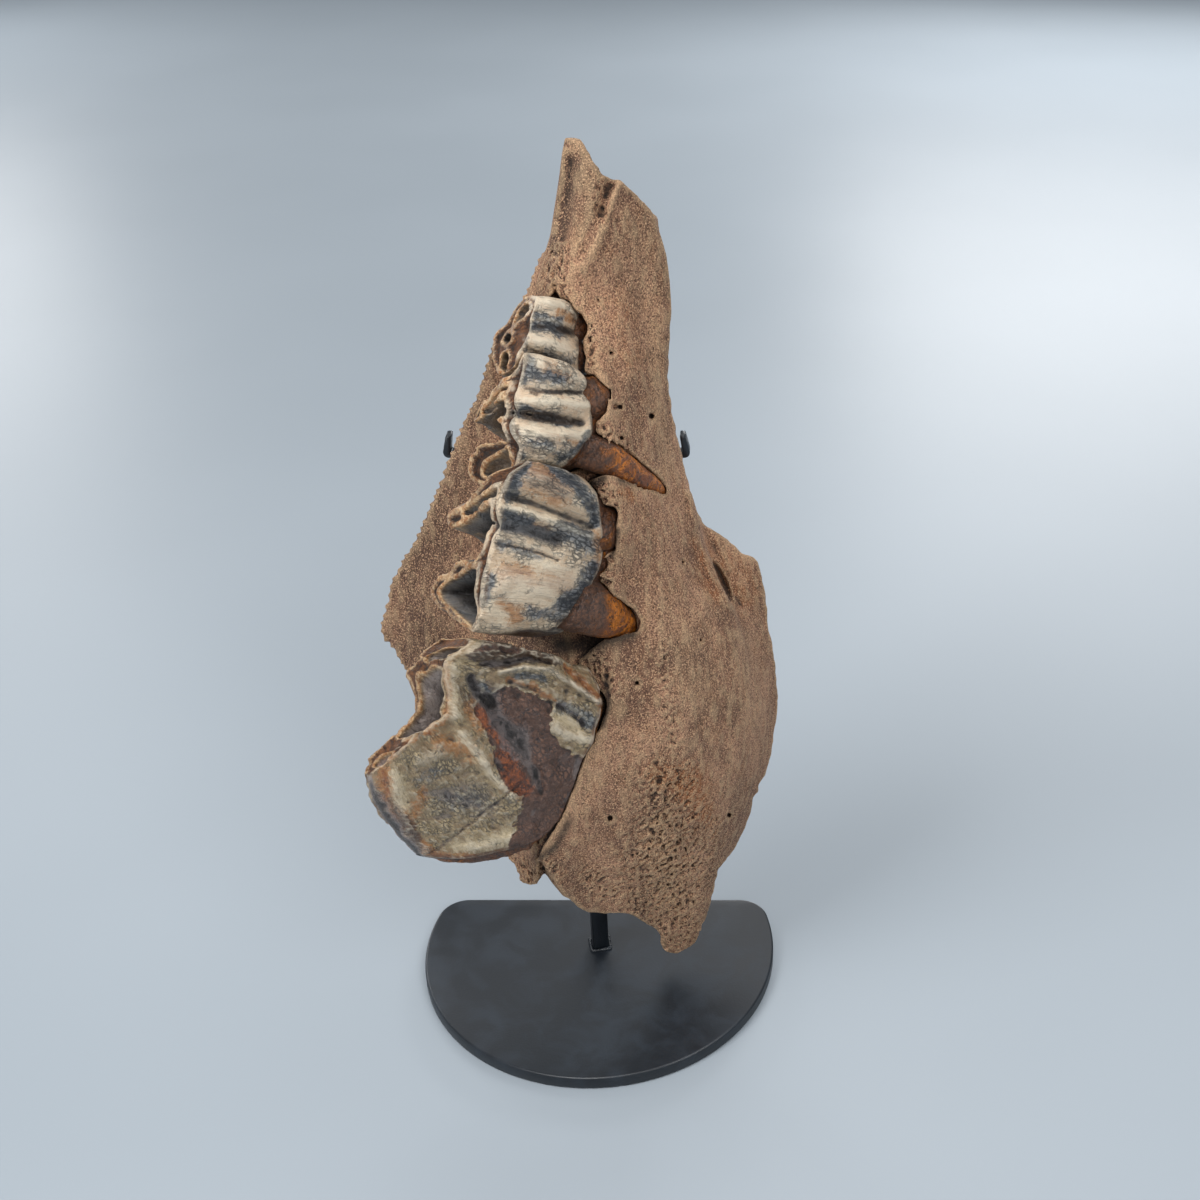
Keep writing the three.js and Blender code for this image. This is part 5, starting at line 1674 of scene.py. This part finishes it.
class MAXILLA_OT_stage(bpy.types.Operator):
    """Sets up the pale studio floor, the soft lights and the camera"""

    bl_idname = "maxilla.stage"
    bl_label = "Build Stage"

    def execute(self, context):
        settings = context.scene.maxilla_stage
        material, tree = new_material("matt acrylic table")
        spot = add_node(tree, "ShaderNodeTexCoord").outputs["Object"]
        cloudy = cloud(tree, stretched(tree, spot, (300, 300, 300)), 2.0, 0.5)
        colour = mix_colour(tree, span(tree, cloudy, 0.3, 0.7), hex_colour(settings.floor), hex_colour("#9ea6ad"))
        finish_material(tree, {"Base Color": colour, "Roughness": 0.45, "IOR": 1.45})
        floor = bpy.data.meshes.new("studio_floor")
        rows = [(-2.0, 0.0), (2.6, 0.0)]
        rows += [(2.6 + 0.8 * math.sin(a), 0.8 - 0.8 * math.cos(a)) for a in np.linspace(0.1, math.pi / 2, 16)]
        rows += [(3.4, 3.0)]
        verts = [(x, y, z) for y, z in rows for x in (-4.0, 4.0)]
        faces = [(2 * i, 2 * i + 1, 2 * i + 3, 2 * i + 2) for i in range(len(rows) - 1)]
        floor.from_pydata(verts, [], faces)
        floor.materials.append(material)
        for polygon in floor.polygons:
            polygon.use_smooth = True
        stage = bpy.data.objects.new("studio_floor", floor)
        context.scene.collection.objects.link(stage)

        area_light("key_softbox", (-0.65, -0.55, 0.95), (0, 0, 0.15), (0.5, 0.5), settings.key_power)
        area_light("front_softbox", (0.45, -0.85, 0.95), (0, 0, 0.15), (0.6, 0.6), 7.5)
        area_light("top_softbox", (0.3, 0.3, 1.3), (0, 0, 0.1), (1.2, 0.9), 5.0)
        area_light("far_softbox", (0.1, 1.5, 1.4), (0, 1.1, 0), (2.4, 1.0), 6.0)
        area_light("back_right_glow", (0.55, 1.6, 0.52), (0.35, 0.4, 0), (0.7, 0.2), 8.0)
        area_light("back_left_glow", (-1.1, 1.6, 0.5), (-0.6, 0.4, 0), (0.5, 0.2), 5.0)

        world = bpy.data.worlds.new("soft studio")
        context.scene.world = world
        world.use_nodes = True
        world.node_tree.nodes["Background"].inputs["Color"].default_value = hex_colour("#d5dde4")
        world.node_tree.nodes["Background"].inputs["Strength"].default_value = 0.5

        camera = bpy.data.objects.new("camera", bpy.data.cameras.new("camera"))
        context.scene.collection.objects.link(camera)
        camera.location = EYE * MM
        camera.rotation_euler = (math.pi / 2 - EYE_TILT, 0, 0)
        camera.data.sensor_width = 36.0
        camera.data.lens = 36.0 * EYE_FOCUS / FRAME_SIDE
        camera.data.shift_x = -(EYE_CENTRE[0] - FRAME_SIDE / 2) / FRAME_SIDE
        camera.data.clip_start = 0.01
        context.scene.camera = camera
        context.scene.view_settings.view_transform = "Standard"
        return {"FINISHED"}


class MAXILLA_PT_panel(bpy.types.Panel):
    """Lists the steps that build the fossil"""

    bl_label = "Fossil Maxilla"
    bl_idname = "MAXILLA_PT_panel"
    bl_space_type = "VIEW_3D"
    bl_region_type = "UI"
    bl_category = "Maxilla"

    def draw(self, context):
        for operator in OPERATORS:
            self.layout.operator(operator.bl_idname)


SETTINGS = {
    "maxilla_bone": BoneSettings,
    "maxilla_teeth": ToothSettings,
    "maxilla_stand": StandSettings,
    "maxilla_stage": StageSettings,
}
OPERATORS = (MAXILLA_OT_stand, MAXILLA_OT_teeth, MAXILLA_OT_bone, MAXILLA_OT_stage)


def register():
    for part in (*SETTINGS.values(), *OPERATORS, MAXILLA_PT_panel):
        bpy.utils.register_class(part)
    for name, group in SETTINGS.items():
        setattr(bpy.types.Scene, name, bpy.props.PointerProperty(type=group))


def unregister():
    for name in SETTINGS:
        delattr(bpy.types.Scene, name)
    for part in reversed((*SETTINGS.values(), *OPERATORS, MAXILLA_PT_panel)):
        bpy.utils.unregister_class(part)


def main():
    register()
    bpy.ops.maxilla.stand()
    bpy.ops.maxilla.teeth()
    bpy.ops.maxilla.bone()
    bpy.ops.maxilla.stage()


if __name__ == "__main__":
    main()
